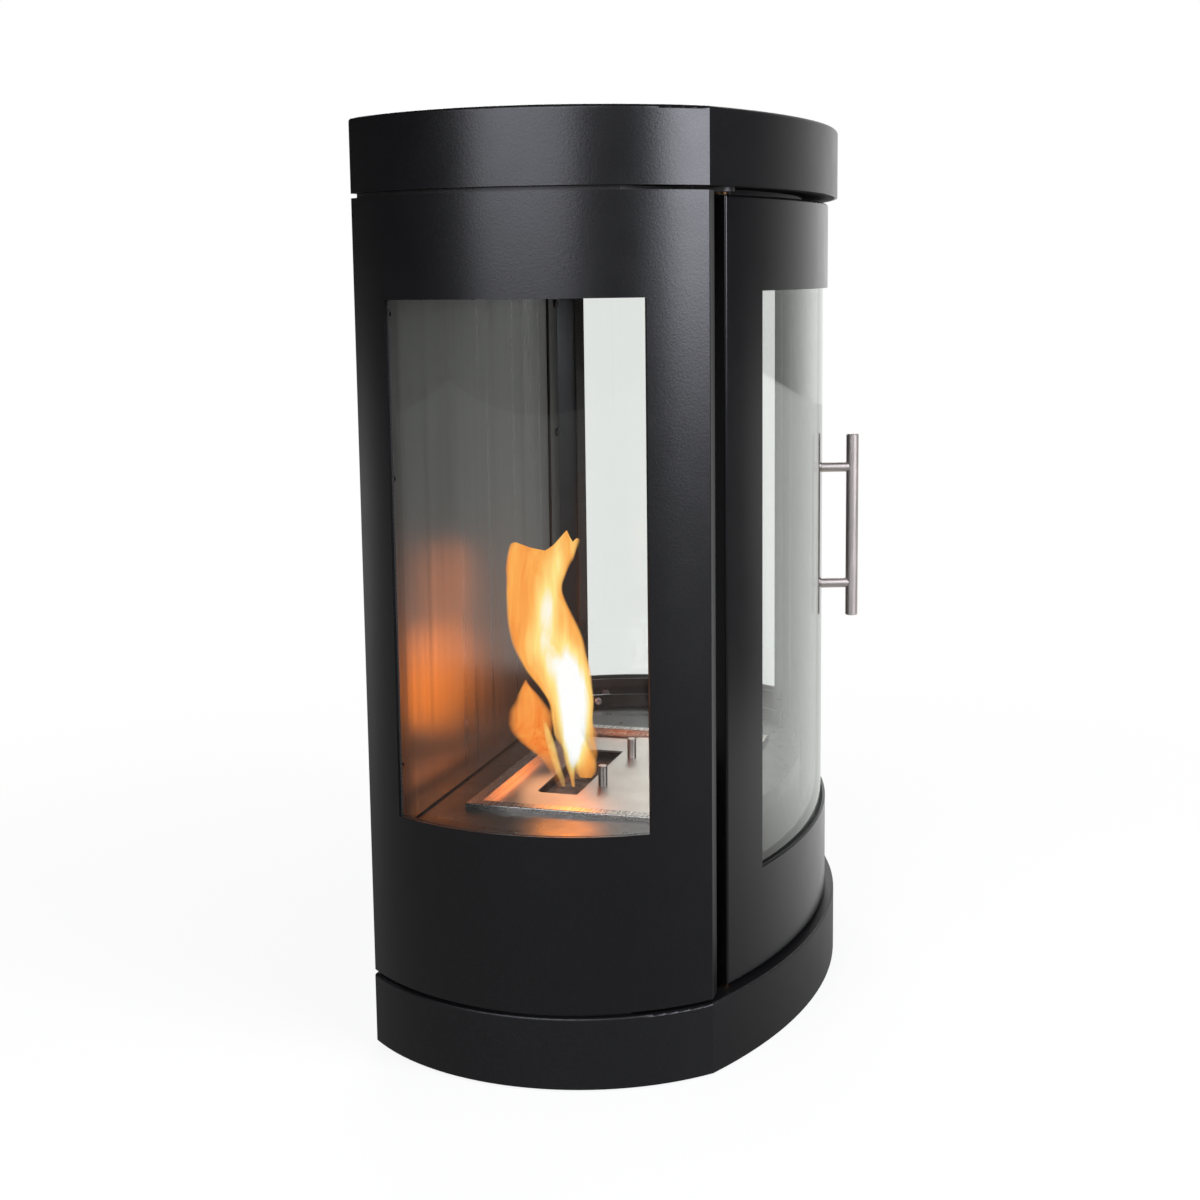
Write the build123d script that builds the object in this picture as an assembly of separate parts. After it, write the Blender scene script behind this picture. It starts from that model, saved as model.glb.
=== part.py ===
"""Free-standing bioethanol fireplace with two curved side windows and a curved glazed door.

Millimetres. +Z is up, -Y is the front (door) side, +Y is the flat back.
The origin is on the floor, under the middle of the body's footprint.
"""
from build123d import *
import math
import os

os.makedirs("parts", exist_ok=True)

# ---------------------------------------------------------------- driving dimensions
# Overall body
overall_height = 640.0
overall_width = 483.0
overall_depth = 287.0
side_bulge = 49.0            # rise of a side arc over its chord
front_bulge = 45.5           # rise of the front arc over its chord
corner_taper = 4.5           # back corners are this much wider, front corners this much narrower
lid_height = 49.0
base_height = 51.0
shadow_gap = 3.0             # dark joint above the base and below the lid
sheet = 2.0                  # outer steel sheet
thin_sheet = 1.5             # inner steel sheet
bend = 1.6                   # outside radius of the folds that show
lid_edge = 2.5               # rounding of the lid's top edge
skirt_lift = 1.5             # base skirt above the floor
fit_gap = 0.3                # general clearance of a fitted piece
snug_gap = 0.1               # between nested sheets
touch_gap = 0.03             # between a tape or a bracket and what it rests on
slide_gap = 0.15             # under the slide plate
past = 1.0                   # a cut reaches this far past a face

# Side panels
side_window_back_margin = 39.0
side_window_front_margin = 44.4
side_window_sill = 174.5
side_window_head = 521.5
panel_flange = 22.0          # folded top, bottom and back edges
front_return = 12.0          # folded front edge beside the door
back_screw_inset = 15.0      # from the back corners
back_screw_shares = (0.08, 0.5, 0.92)    # of the panel's height
chassis_inset = 5.0          # chassis plates inside the outer face
chassis_screw_shares = (0.3, 0.75)       # of a side arc, from its front end

# Vents
vent_length = 60.0
vent_width = 8.0
vent_pitch = 78.0
vent_row_pitch = 20.0
vent_columns = 3
vent_rows = 3
back_vent_length = 36.0
back_vent_width = 5.0
back_vent_pitch = 48.0
back_vent_columns = 7
back_vent_heights = (86.0, 100.0, 114.0)
lid_vent_height = 616.0

# Door
door_inset = 7.0             # door face behind the body's front arc
door_side_gap = 25.5         # body corner to door edge, along X
door_depth = 18.0
door_bottom_gap = 2.5
door_top_gap = 5.0
door_stile = 42.0
door_window_sill = 125.0
door_window_head = 524.0
door_swing_gap = 2.0         # behind the door's returns

# Hinges
hinge_pin_radius = 2.5
hinge_collar_radius = 4.0
hinge_pin_setback = 9.0      # behind the door face
hinge_edge_distance = 6.3    # from the door's edge
hinge_bush_radius = 4.5
hinge_flange_radius = 6.5
pin_running_clearance = 0.05
pin_collar = 3.0
bush_grip = 4.0              # pin in the lower bush
bush_end = 1.0               # bush below the pin's end
thrust_gap = 0.3
hinge_ear_margin = 3.0       # ear of the upper plate round the bush's flange
hinge_ear_reach = 24.0

# Glass and its fixing
glass_thickness = 4.0
tape_thickness = 1.5
glass_overlap = 8.0
channel_lip = 6.0
channel_leg = 14.0
channel_nut_shares = (0.12, 0.5, 0.88)   # of the glass's arc

# Handle
handle_bar_radius = 5.0
handle_bar_length = 150.0
handle_hole_spacing = 96.0
handle_post_radius = 4.0
handle_standoff = 29.0       # bar axis in front of the door face
handle_mid_height = 329.6
handle_end_chamfer = 0.6
handle_screw_depth = 12.0    # threaded hole in a post

# Firebox
floor_level = 151.5
floor_inset = 27.0           # air gap beside the floor pan
floor_rim = 11.0
rim_end_gap = 6.0            # rim ends in front of the liner
cutout_clearance = 2.0       # pan's cut-out inside the burner's lip
liner_gap = 14.5             # liner's back face in front of the body's back plane
liner_half_width = 163.5
back_post_width = 23.0
back_post_gap = 2.5
post_screw_edge = 6.0        # screw's middle from the post's outer edge
post_screw_length = 6.5
post_screw_low = 200.0
post_screw_middle = 400.0
post_screw_top_margin = 55.0
baffle_drop = 20.0
baffle_inset = 45.0
baffle_back_inset = 27.0
spacer_radius = 5.0
spacer_bore = 2.5
spacer_x = 120.0
spacer_front_y = -50.0
spacer_back_y = 80.0
header_height = 53.0
header_clearance = 3.5       # header outside the circle that the door's edge sweeps
jamb_depth = 14.0
bracket_reach = 20.0         # floor bracket under the pan
bracket_leg = 16.0
bracket_width = 28.0
bracket_angles = (-28, 28)   # on the side circle, in degrees from +X
lid_ring_width = 42.0

# Door catch
catch_end_distance = 20.0    # magnet's middle from the header's end
magnet_top_margin = 25.0
magnet_width = 22.0
magnet_tall = 10.0
magnet_depth = 7.5
magnet_proud = 1.2
catch_width = 34.0
catch_depth = 12.0
catch_tall = 18.0
striker_width = 30.0
striker_drop = 10.0          # striker below the magnet's middle

# Burner
burner_half_length = 121.5
burner_back = 102.0
burner_front = -75.0
burner_flange = 10.0
burner_sheet = 1.2
burner_fold = 0.95           # outside radius of the flange's fold
burner_flange_height = 4.0
burner_recess = 5.7
burner_ledge = 6.0           # shelf under the burner plate
slot_half_length = 63.5
slot_back = 67.0
slot_width = 60.0
slot_corner = 6.0
slider_thickness = 1.5
slider_overlap = 4.0
slider_open = 34.0           # slot left open at rest
slider_side_gap = 2.5
slider_corner = 1.0
rail_wall = 1.2
rail_lip = 5.0
rail_end_gap = 1.0
slider_post_radius = 3.5
slider_post_height = 16.0
slider_post_round = 0.5
slider_post_setback = 12.0
slider_post_x = 41.0
fuel_box_half_length = 90.0
fuel_box_depth = 58.0
fuel_box_margin = 7.0
fleece_fill = 46.0

# Fasteners and feet
screw_head_radius = 3.5
screw_head_height = 2.2
screw_head_round = 1.0
screw_socket_radius = 1.6
screw_socket_depth = 1.2
screw_shank_radius = 2.0
screw_hole_clearance = 0.15
screw_spare = 4.0            # shank beyond the sheets it holds
screw_end_gap = 1.0          # threaded hole beyond the screw's tip
countersunk_socket_radius = 1.4
nut_dome = 1.2
nut_dome_foot = 2.8
nut_dome_top = 1.4
foot_radius = 15.0
foot_height = 4.0
wall_hole_radius = 3.5
wall_hole_spacing = 300.0
wall_hole_height = 548.0

# ---------------------------------------------------------------- derived places
back_y = overall_depth / 2
crown_y = -overall_depth / 2
corner_y = crown_y + front_bulge
chord_half = overall_width / 2 - side_bulge
back_half = chord_half + corner_taper
corner_half = chord_half - corner_taper
base_top = base_height
panel_bottom = base_top + shadow_gap
lid_bottom = overall_height - lid_height
panel_top = lid_bottom - shadow_gap
door_bottom = base_top + door_bottom_gap
door_top = lid_bottom - door_top_gap


def arc_circle(start, end, rise):
    """Centre and radius of the arc whose middle lies `rise` to the left of start -> end."""
    half = math.dist(start, end) / 2
    radius = (half * half + rise * rise) / (2 * rise)
    ux = (end[0] - start[0]) / (2 * half)
    uy = (end[1] - start[1]) / (2 * half)
    back = radius - rise
    centre = ((start[0] + end[0]) / 2 + uy * back, (start[1] + end[1]) / 2 - ux * back)
    return centre, radius


side_centre, side_radius = arc_circle((back_half, back_y), (corner_half, corner_y), side_bulge)
front_centre, front_radius = arc_circle((corner_half, corner_y), (-corner_half, corner_y), front_bulge)
door_radius = front_radius - door_inset
door_half_width = corner_half - door_side_gap


def angle_at(centre, point):
    return math.degrees(math.atan2(point[1] - centre[1], point[0] - centre[0]))


def polar(centre, radius, angle):
    turn = math.radians(angle)
    return (centre[0] + radius * math.cos(turn), centre[1] + radius * math.sin(turn))


def front_angle(x, radius):
    """Angle on a front circle of this radius at distance x to the right of the middle."""
    return -90 + math.degrees(math.asin(x / radius))


def arc_degrees(length, radius):
    return math.degrees(length / radius)


side_back_angle = angle_at(side_centre, (back_half, back_y))
side_front_angle = angle_at(side_centre, (corner_half, corner_y))
side_window_back = side_back_angle - arc_degrees(side_window_back_margin, side_radius)
side_window_front = side_front_angle + arc_degrees(side_window_front_margin, side_radius)
door_edge = front_angle(door_half_width, door_radius) + 90
door_window_edge = front_angle(door_half_width - door_stile, door_radius) + 90
hinge_radius = door_radius - hinge_pin_setback
hinge_angle = -90 - door_edge + arc_degrees(hinge_edge_distance, hinge_radius)
hinge_xy = polar(front_centre, hinge_radius, hinge_angle)
door_corner_reach = math.hypot(hinge_pin_setback, hinge_edge_distance)
firebox_front_radius = front_radius - door_inset - door_depth - door_swing_gap
jamb_x = corner_half - front_return - thin_sheet
header_half = -hinge_xy[0] - door_corner_reach - header_clearance
liner_front_y = back_y - liner_gap - thin_sheet
liner_bottom = floor_level + thin_sheet
liner_top = panel_top - baffle_drop - thin_sheet
back_panel_front = back_y - 2 * sheet
back_post_inner = liner_half_width + back_post_gap
back_post_outer = back_post_inner + back_post_width
back_screw_x = back_half - back_screw_inset
post_screw_x = back_post_outer - post_screw_edge
screw_hole_radius = screw_shank_radius + screw_hole_clearance
countersunk_head = 2 * screw_shank_radius
chassis_screw_inset = panel_flange / 2 + sheet
floor_front_inset = front_radius - firebox_front_radius
rim_radius = side_radius - floor_inset
side_glass_radius = side_radius - sheet - tape_thickness
door_glass_radius = door_radius - sheet - tape_thickness
side_glass_front = side_window_front - arc_degrees(glass_overlap, side_glass_radius)
side_glass_back = side_window_back + arc_degrees(glass_overlap, side_glass_radius)
side_glass_low = side_window_sill - glass_overlap
side_glass_high = side_window_head + glass_overlap
door_glass_edge = door_window_edge + arc_degrees(glass_overlap, door_glass_radius)
door_glass_low = door_window_sill - glass_overlap
door_glass_high = door_window_head + glass_overlap
header_angle = math.degrees(math.asin(header_half / firebox_front_radius))
magnet_angle = header_angle - arc_degrees(catch_end_distance, firebox_front_radius) - 90
magnet_height = panel_top - magnet_top_margin
catch_face_radius = math.sqrt((firebox_front_radius - thin_sheet) ** 2 - (catch_width / 2) ** 2)
handle_angle = front_angle(door_half_width - door_stile / 2, door_radius)
handle_bar_r = door_radius + handle_standoff
burner_top = floor_level + burner_flange_height
burner_plate_top = burner_top - burner_recess
recess_half = burner_half_length - burner_flange
recess_back = burner_back - burner_flange
recess_front = burner_front + burner_flange
plate_low = burner_plate_top - thin_sheet
slot_front = slot_back - slot_width
box_front = slot_front - fuel_box_margin
box_back = slot_back + fuel_box_margin
slider_half = recess_half - slider_side_gap
slider_low = burner_plate_top + slide_gap
slider_top = slider_low + slider_thickness
slider_back = slot_back - slider_open
slider_length = slot_width + 2 * slider_overlap


# ---------------------------------------------------------------- shape helpers
def circles_meet(centre_a, radius_a, centre_b, radius_b):
    """The right-hand crossing of two circles."""
    dx = centre_b[0] - centre_a[0]
    dy = centre_b[1] - centre_a[1]
    gap = math.hypot(dx, dy)
    along = (radius_a ** 2 - radius_b ** 2 + gap * gap) / (2 * gap)
    off = math.sqrt(radius_a ** 2 - along ** 2)
    foot = (centre_a[0] + along * dx / gap, centre_a[1] + along * dy / gap)
    crossings = [
        (foot[0] - sign * off * dy / gap, foot[1] + sign * off * dx / gap) for sign in (1, -1)
    ]
    return max(crossings, key=lambda point: point[0])


def side_x(radius, y):
    """X at which the right-hand side circle of this radius crosses this Y."""
    return side_centre[0] + math.sqrt(radius ** 2 - (y - side_centre[1]) ** 2)


def plan_face(side_inset, front_inset, back_inset):
    """The body's D-shaped plan, pulled in by its three insets."""
    side_r = side_radius - side_inset
    front_r = front_radius - front_inset
    rear_y = back_y - back_inset
    rear = (side_x(side_r, rear_y), rear_y)
    nose = circles_meet(side_centre, side_r, front_centre, front_r)
    middle = (angle_at(side_centre, rear) + angle_at(side_centre, nose)) / 2
    bulge = polar(side_centre, side_r, middle)
    edges = [
        Line((-rear[0], rear_y), rear),
        ThreePointArc(rear, bulge, nose),
        ThreePointArc(nose, (0, front_centre[1] - front_r), (-nose[0], nose[1])),
        ThreePointArc((-nose[0], nose[1]), (-bulge[0], bulge[1]), (-rear[0], rear_y)),
    ]
    return make_face(edges)


def plate(side_inset, front_inset, back_inset, low, high):
    face = plan_face(side_inset, front_inset, back_inset)
    return Pos(0, 0, low) * extrude(face, high - low, dir=(0, 0, 1))


def band(centre, inner, outer, start, end, low, high):
    """A piece of tube wall between two radii, two angles and two heights."""
    middle = (start + end) / 2
    far = ThreePointArc(*[polar(centre, outer, angle) for angle in (start, middle, end)])
    near = ThreePointArc(*[polar(centre, inner, angle) for angle in (end, middle, start)])
    edges = [far, Line(far @ 1, near @ 0), near, Line(near @ 1, far @ 0)]
    return Pos(0, 0, low) * extrude(make_face(edges), high - low, dir=(0, 0, 1))


def turned(centre, profile, start, end):
    """A profile of (radius, height) points turned about an upright axis between two angles."""
    face = make_face(Polyline(*[(radius, 0, height) for radius, height in profile], close=True))
    return Pos(centre[0], centre[1], 0) * Rot(0, 0, start) * revolve(face, Axis.Z, end - start)


def front_band(inner, outer, half_angle, low, high):
    return band(front_centre, inner, outer, -90 - half_angle, -90 + half_angle, low, high)


def block(x_low, x_high, y_low, y_high, z_low, z_high):
    centre = ((x_low + x_high) / 2, (y_low + y_high) / 2, (z_low + z_high) / 2)
    return Pos(*centre) * Box(x_high - x_low, y_high - y_low, z_high - z_low)


def rod(radius, low, high, x=0.0, y=0.0):
    return Pos(x, y, (low + high) / 2) * Cylinder(radius, high - low)


def ring(outer, inner, low, high, x=0.0, y=0.0):
    return rod(outer, low, high, x, y) - rod(inner, low, high, x, y)


def radial(centre, radius, angle, z):
    """Place whose local +X points outwards along a radius and local +Z is up."""
    x, y = polar(centre, radius, angle)
    return Location((x, y, z), (0, 0, angle))


def radial_rod(centre, angle, z, inner, outer, radius):
    spot = radial(centre, (inner + outer) / 2, angle, z)
    return spot * Rot(0, 90, 0) * Cylinder(radius, outer - inner)


def mirrored(shape):
    return mirror(shape, Plane.YZ)


def group(shapes):
    return Compound(children=list(shapes))


def upright_edges(shape, points, reach=0.5):
    """Upright edges of a shape that stand on any of these plan points."""
    found = []
    for edge in shape.edges().filter_by(Axis.Z):
        spot = edge.center()
        if any(math.hypot(spot.X - x, spot.Y - y) < reach for x, y in points):
            found.append(edge)
    return found


def pan_screw(length):
    """Pan-head screw along +Z: the head's seat is at z = 0 and the shank runs down."""
    head = Pos(0, 0, screw_head_height / 2) * Cylinder(screw_head_radius, screw_head_height)
    head = fillet(head.edges().group_by(Axis.Z)[-1], screw_head_round)
    socket = extrude(RegularPolygon(screw_socket_radius, 6), screw_socket_depth + past)
    shank = Pos(0, 0, -length / 2) * Cylinder(screw_shank_radius, length)
    return head - Pos(0, 0, screw_head_height - screw_socket_depth) * socket + shank


def dome_nut(length):
    """Cap nut along +Z on a weld stud that runs down from the nut's seat at z = 0."""
    body = extrude(RegularPolygon(screw_head_radius, 6), screw_head_height)
    dome = Pos(0, 0, screw_head_height) * Cone(nut_dome_foot, nut_dome_top, nut_dome)
    stud = Pos(0, 0, -length / 2) * Cylinder(screw_shank_radius, length)
    return body + dome + stud


def facing_in(spot, fastener):
    """A fastener made along +Z, turned so that its head points along the place's local -X."""
    return spot * Rot(0, -90, 0) * fastener


def with_holes(shape, places):
    """A thin sheet with a screw hole along local X at each place."""
    for place in places:
        shape -= place * Rot(0, 90, 0) * Cylinder(screw_hole_radius, 6 * thin_sheet)
    return shape


def head_seat(radius):
    """Seat radius of a flat head inside a curved wall of this inner radius."""
    return math.sqrt(radius ** 2 - screw_head_radius ** 2)


def vent_row(columns, pitch, length, width, depth):
    """Slots side by side along X, cut upwards from z = 0."""
    slot = extrude(SlotOverall(length, width), depth)
    return [Pos((column - (columns - 1) / 2) * pitch, 0, 0) * slot for column in range(columns)]


def back_vents(height):
    """One row of slots through the sheets at the back."""
    row = vent_row(back_vent_columns, back_vent_pitch, back_vent_length, back_vent_width, 3 * sheet)
    return Pos(0, back_y + sheet / 2, height) * Rot(90, 0, 0) * group(row)


def nut_angles(start, end):
    return [start + share * (end - start) for share in channel_nut_shares]


# ---------------------------------------------------------------- base
def base_shell():
    outer = plate(0, 0, 0, skirt_lift, base_top)
    top_rim = outer.faces().sort_by(Axis.Z)[-1].edges()
    outer = fillet(top_rim, bend)
    inner = plate(sheet, sheet, sheet, skirt_lift, base_top - sheet)
    bush_hole = rod(hinge_bush_radius + pin_running_clearance, base_top - 2 * sheet, base_top, *hinge_xy)
    shell = outer - inner - bush_hole
    for x, y in chassis_screw_spots():
        shell -= rod(screw_hole_radius, base_top - 2 * sheet, base_top, x, y)
    return shell


def base_floor_plate():
    inset = sheet + snug_gap
    return plate(inset, inset, inset, foot_height, foot_height + sheet)


def foot_spots():
    side = corner_half - foot_radius
    front = corner_y + foot_radius
    rear = back_y - 2 * foot_radius
    return [(sign * side, y) for sign in (-1, 1) for y in (front, rear)]


def foot_pads():
    return group(rod(foot_radius, 0, foot_height, x, y) for x, y in foot_spots())


# ---------------------------------------------------------------- chassis plates
def chassis_screw_spots():
    spots = []
    for share in chassis_screw_shares:
        angle = side_front_angle + share * (side_back_angle - side_front_angle)
        x, y = polar(side_centre, side_radius - chassis_screw_inset, angle)
        spots += [(x, y), (-x, y)]
    return spots


def chassis_plate(low, high):
    panel = plate(chassis_inset, floor_front_inset, sheet + fit_gap, low, high)
    for x, y in chassis_screw_spots():
        panel -= rod(screw_hole_radius, low, high, x, y)
    return panel


def bottom_plate():
    return chassis_plate(base_top, panel_bottom)


def top_plate():
    """Upper chassis plate with hot-air slots and the ear that carries the top hinge."""
    panel = chassis_plate(panel_top, lid_bottom)
    x, y = hinge_xy
    ear_radius = hinge_flange_radius + hinge_ear_margin
    panel += rod(ear_radius, panel_top, lid_bottom, x, y)
    panel += block(x - ear_radius, x + ear_radius, y, y + hinge_ear_reach, panel_top, lid_bottom)
    panel -= rod(hinge_bush_radius + pin_running_clearance, panel_top, lid_bottom, x, y)
    slots = group(vent_row(vent_columns, vent_pitch, vent_length, vent_width, 2 * shadow_gap))
    for row in range(vent_rows):
        panel -= Pos(0, row * vent_row_pitch, panel_top - shadow_gap / 2) * slots
    return panel


def chassis_screws(seat):
    """Four screws whose heads point down and whose seats are at this height."""
    length = 2 * sheet + shadow_gap + screw_spare
    return group(Pos(x, y, seat) * Rot(180, 0, 0) * pan_screw(length) for x, y in chassis_screw_spots())


def base_screws():
    return chassis_screws(base_top - sheet)


def lid_screws():
    return chassis_screws(panel_top - sheet)


# ---------------------------------------------------------------- side panels
def side_profile():
    """Plan of the right-hand panel: curved sheet, front return and back flange in one fold."""
    inner_r = side_radius - sheet
    front_in = (side_x(inner_r, corner_y + sheet), corner_y + sheet)
    back_in = (side_x(inner_r, back_y - sheet), back_y - sheet)
    middle = (side_front_angle + side_back_angle) / 2
    return_x = corner_half - front_return
    flange_x = back_half - panel_flange
    edges = [
        ThreePointArc((corner_half, corner_y), polar(side_centre, side_radius, middle), (back_half, back_y)),
        Line((back_half, back_y), (flange_x, back_y)),
        Line((flange_x, back_y), (flange_x, back_y - sheet)),
        Line((flange_x, back_y - sheet), back_in),
        ThreePointArc(back_in, polar(side_centre, inner_r, middle), front_in),
        Line(front_in, (return_x, corner_y + sheet)),
        Line((return_x, corner_y + sheet), (return_x, corner_y)),
        Line((return_x, corner_y), (corner_half, corner_y)),
    ]
    return make_face(edges)


def side_flange(low):
    inner = side_radius - panel_flange
    margin = arc_degrees(panel_flange, side_radius)
    start = side_front_angle + margin / 2
    end = side_back_angle - margin / 2
    return band(side_centre, inner, side_radius - sheet / 2, start, end, low, low + sheet)


def side_panel():
    height = panel_top - panel_bottom
    panel = Pos(0, 0, panel_bottom) * extrude(side_profile(), height, dir=(0, 0, 1))
    folds = [(corner_half, corner_y), (back_half, back_y)]
    panel = fillet(upright_edges(panel, folds), bend)
    panel += side_flange(panel_bottom) + side_flange(panel_top - sheet)
    for x, y in chassis_screw_spots():
        panel -= rod(screw_hole_radius, panel_bottom - past, panel_top + past, x, y)
    window = (side_radius - 3 * sheet, side_radius + sheet, side_window_front, side_window_back)
    panel -= band(side_centre, *window, side_window_sill, side_window_head)
    for z in back_screw_heights():
        panel -= Pos(back_screw_x, back_y, z) * Rot(90, 0, 0) * countersink()
    return panel


# ---------------------------------------------------------------- back panel and its screws
def back_screw_heights():
    span = panel_top - panel_bottom
    return [panel_bottom + share * span for share in back_screw_shares]


def countersink():
    """Countersunk hole for one screw along +Z, with its mouth at z = 0."""
    depth = countersunk_head - screw_shank_radius
    mouth = Pos(0, 0, depth / 2) * Cone(countersunk_head, screw_shank_radius, depth)
    return mouth + Pos(0, 0, sheet) * Cylinder(screw_hole_radius, 2 * sheet + past)


def countersunk_screw(length):
    depth = countersunk_head - screw_shank_radius
    shank_radius = screw_shank_radius - snug_gap
    head = Pos(0, 0, depth / 2) * Cone(countersunk_head - snug_gap, shank_radius, depth)
    shank = Pos(0, 0, length / 2) * Cylinder(shank_radius, length)
    socket = extrude(RegularPolygon(countersunk_socket_radius, 6), screw_socket_depth)
    return head + shank - socket


def back_panel():
    half = side_x(side_radius - sheet, back_y - sheet) - fit_gap - sheet
    panel = block(-half, half, back_panel_front, back_y - sheet, panel_bottom, panel_top)
    upright = Rot(90, 0, 0)
    for height in back_vent_heights:
        panel -= back_vents(height)
    for sign in (-1, 1):
        spot = Pos(sign * wall_hole_spacing / 2, back_y - 1.5 * sheet, wall_hole_height)
        panel -= spot * upright * Cylinder(wall_hole_radius, 3 * sheet)
        for z in back_screw_heights():
            screw_spot = Pos(sign * back_screw_x, back_y - sheet, z)
            panel -= screw_spot * upright * Cylinder(screw_hole_radius, 3 * sheet)
    return panel


def back_panel_screws():
    screws = []
    for sign in (-1, 1):
        for z in back_screw_heights():
            spot = Pos(sign * back_screw_x, back_y, z)
            screws.append(spot * Rot(90, 0, 0) * countersunk_screw(2 * sheet + screw_spare))
    return group(screws)


# ---------------------------------------------------------------- firebox
def back_liner():
    """Shallow pan whose returns reach back to the back panel."""
    face = block(-liner_half_width, liner_half_width, liner_front_y, back_panel_front, liner_bottom, liner_top)
    inner_half = liner_half_width - thin_sheet
    hollow = block(-inner_half, inner_half, liner_front_y + thin_sheet, back_panel_front,
                   liner_bottom + thin_sheet, liner_top - thin_sheet)
    return face - hollow


def back_post():
    """Corner strip beside the liner, standing a sheet proud of it."""
    front = liner_front_y - thin_sheet
    face = block(back_post_inner, back_post_outer, front, front + thin_sheet, liner_bottom, liner_top)
    web = block(back_post_outer - thin_sheet, back_post_outer, front, back_panel_front, liner_bottom, liner_top)
    foot = block(back_post_inner, back_post_outer, back_panel_front - thin_sheet, back_panel_front,
                 liner_bottom, liner_top)
    post = face + web + foot
    for z in back_screw_heights():
        post -= Pos(back_screw_x, back_panel_front, z) * Rot(90, 0, 0) * Cylinder(screw_hole_radius, 4 * thin_sheet)
    for z in post_screw_heights():
        post -= Pos(post_screw_x, front, z) * Rot(90, 0, 0) * Cylinder(screw_hole_radius, 4 * thin_sheet)
    return post


def post_screw_heights():
    return [post_screw_low, post_screw_middle, liner_top - post_screw_top_margin]


def post_screws():
    front = liner_front_y - thin_sheet
    return group(
        Pos(sign * post_screw_x, front, z) * Rot(90, 0, 0) * pan_screw(post_screw_length)
        for sign in (-1, 1) for z in post_screw_heights()
    )


def front_post():
    """Right-hand door jamb: an angle behind the side panel's front return."""
    low = panel_bottom + sheet
    high = panel_top - sheet
    front = corner_y + sheet
    leg = block(jamb_x, corner_half - front_return / 4, front, front + thin_sheet, low, high)
    jamb = block(jamb_x, jamb_x + thin_sheet, front, front + jamb_depth, low, high)
    return leg + jamb


def magnet_place(face_radius, depth):
    """Middle of a box of this depth whose outer face lies at this radius, at the catch."""
    return radial(front_centre, face_radius - depth / 2, magnet_angle, magnet_height)


def magnet_pocket():
    pocket = Box(4 * magnet_depth, magnet_width + slide_gap, magnet_tall + slide_gap)
    return magnet_place(firebox_front_radius + magnet_proud + 2 * magnet_depth, 2 * magnet_depth) * pocket


def front_header():
    inner = firebox_front_radius - thin_sheet
    header = front_band(inner, firebox_front_radius, header_angle, panel_top - header_height, panel_top)
    return header - magnet_pocket()


def front_apron():
    inner = firebox_front_radius - thin_sheet
    return front_band(inner, firebox_front_radius, header_angle, panel_bottom, floor_level - thin_sheet)


def magnet_catch():
    body = magnet_place(catch_face_radius, catch_depth) * Box(catch_depth, catch_width, catch_tall)
    return body - magnet_pocket()


def catch_magnet():
    front = firebox_front_radius + magnet_proud
    return magnet_place(front, magnet_depth) * Box(magnet_depth, magnet_width, magnet_tall)


def floor_pan():
    """D-shaped pan under the fire with an upturned rim and the burner's cut-out."""
    pan = plate(floor_inset, floor_front_inset, liner_gap, floor_level - thin_sheet, floor_level)
    outer = plate(floor_inset, floor_front_inset, liner_gap, floor_level, floor_level + floor_rim)
    inner = plate(floor_inset + thin_sheet, floor_front_inset + thin_sheet, liner_gap,
                  floor_level, floor_level + floor_rim)
    rim_end = liner_front_y - rim_end_gap
    keep_front = block(-overall_width, overall_width, -overall_depth, rim_end, 0, overall_height)
    pan += (outer - inner) & keep_front
    edge = burner_flange - burner_sheet - cutout_clearance
    pan -= block(-burner_half_length + edge, burner_half_length - edge, burner_front + edge,
                 burner_back - edge, 0, overall_height)
    return with_holes(pan, rim_screw_places())


def both_sides(angles, radius, z):
    """Places on the right and left side circles, local +X outwards."""
    left_centre = (-side_centre[0], side_centre[1])
    places = [radial(side_centre, radius, angle, z) for angle in angles]
    return places + [radial(left_centre, radius, 180 - angle, z) for angle in angles]


def rim_screw_places():
    """Screw seats inside the pan's rim, where it is held by the floor brackets."""
    return both_sides(bracket_angles, head_seat(rim_radius - thin_sheet), floor_level + floor_rim / 2)


def floor_pan_screws():
    screw = pan_screw(2 * thin_sheet + screw_spare)
    return group(facing_in(place, screw) for place in rim_screw_places())


def floor_bracket(angle):
    """Right-hand bracket from the side panel to the pan, with an ear outside the pan's rim."""
    wall_r = side_radius - sheet - touch_gap
    ear_r = rim_radius + touch_gap
    half = arc_degrees(bracket_width / 2, wall_r)
    low = floor_level - 2 * thin_sheet
    high = low + thin_sheet
    ear_top = floor_level + floor_rim
    profile = [
        (rim_radius - bracket_reach, low),
        (wall_r - thin_sheet, low),
        (wall_r - thin_sheet, low - bracket_leg),
        (wall_r, low - bracket_leg),
        (wall_r, high),
        (ear_r + thin_sheet, high),
        (ear_r + thin_sheet, ear_top),
        (ear_r, ear_top),
        (ear_r, high),
        (rim_radius - bracket_reach, high),
    ]
    return turned(side_centre, profile, angle - half, angle + half)


def floor_brackets():
    places = rim_screw_places()
    right = [with_holes(floor_bracket(angle), places) for angle in bracket_angles]
    return group(right + [mirrored(bracket) for bracket in right])


def heat_baffle():
    low = panel_top - baffle_drop
    return plate(baffle_inset, baffle_inset, baffle_back_inset, low, low + thin_sheet)


def baffle_spacers():
    low = panel_top - baffle_drop + thin_sheet
    spots = [(x, y) for x in (-spacer_x, spacer_x) for y in (spacer_front_y, spacer_back_y)]
    return group(ring(spacer_radius, spacer_bore, low, panel_top, x, y) for x, y in spots)


# ---------------------------------------------------------------- lid
def lid_shell():
    outer = plate(0, 0, 0, lid_bottom, overall_height)
    top_rim = outer.faces().sort_by(Axis.Z)[-1].edges()
    outer = fillet(top_rim, lid_edge)
    shell = outer - plate(sheet, sheet, sheet, lid_bottom, overall_height - sheet)
    return shell - back_vents(lid_vent_height)


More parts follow.
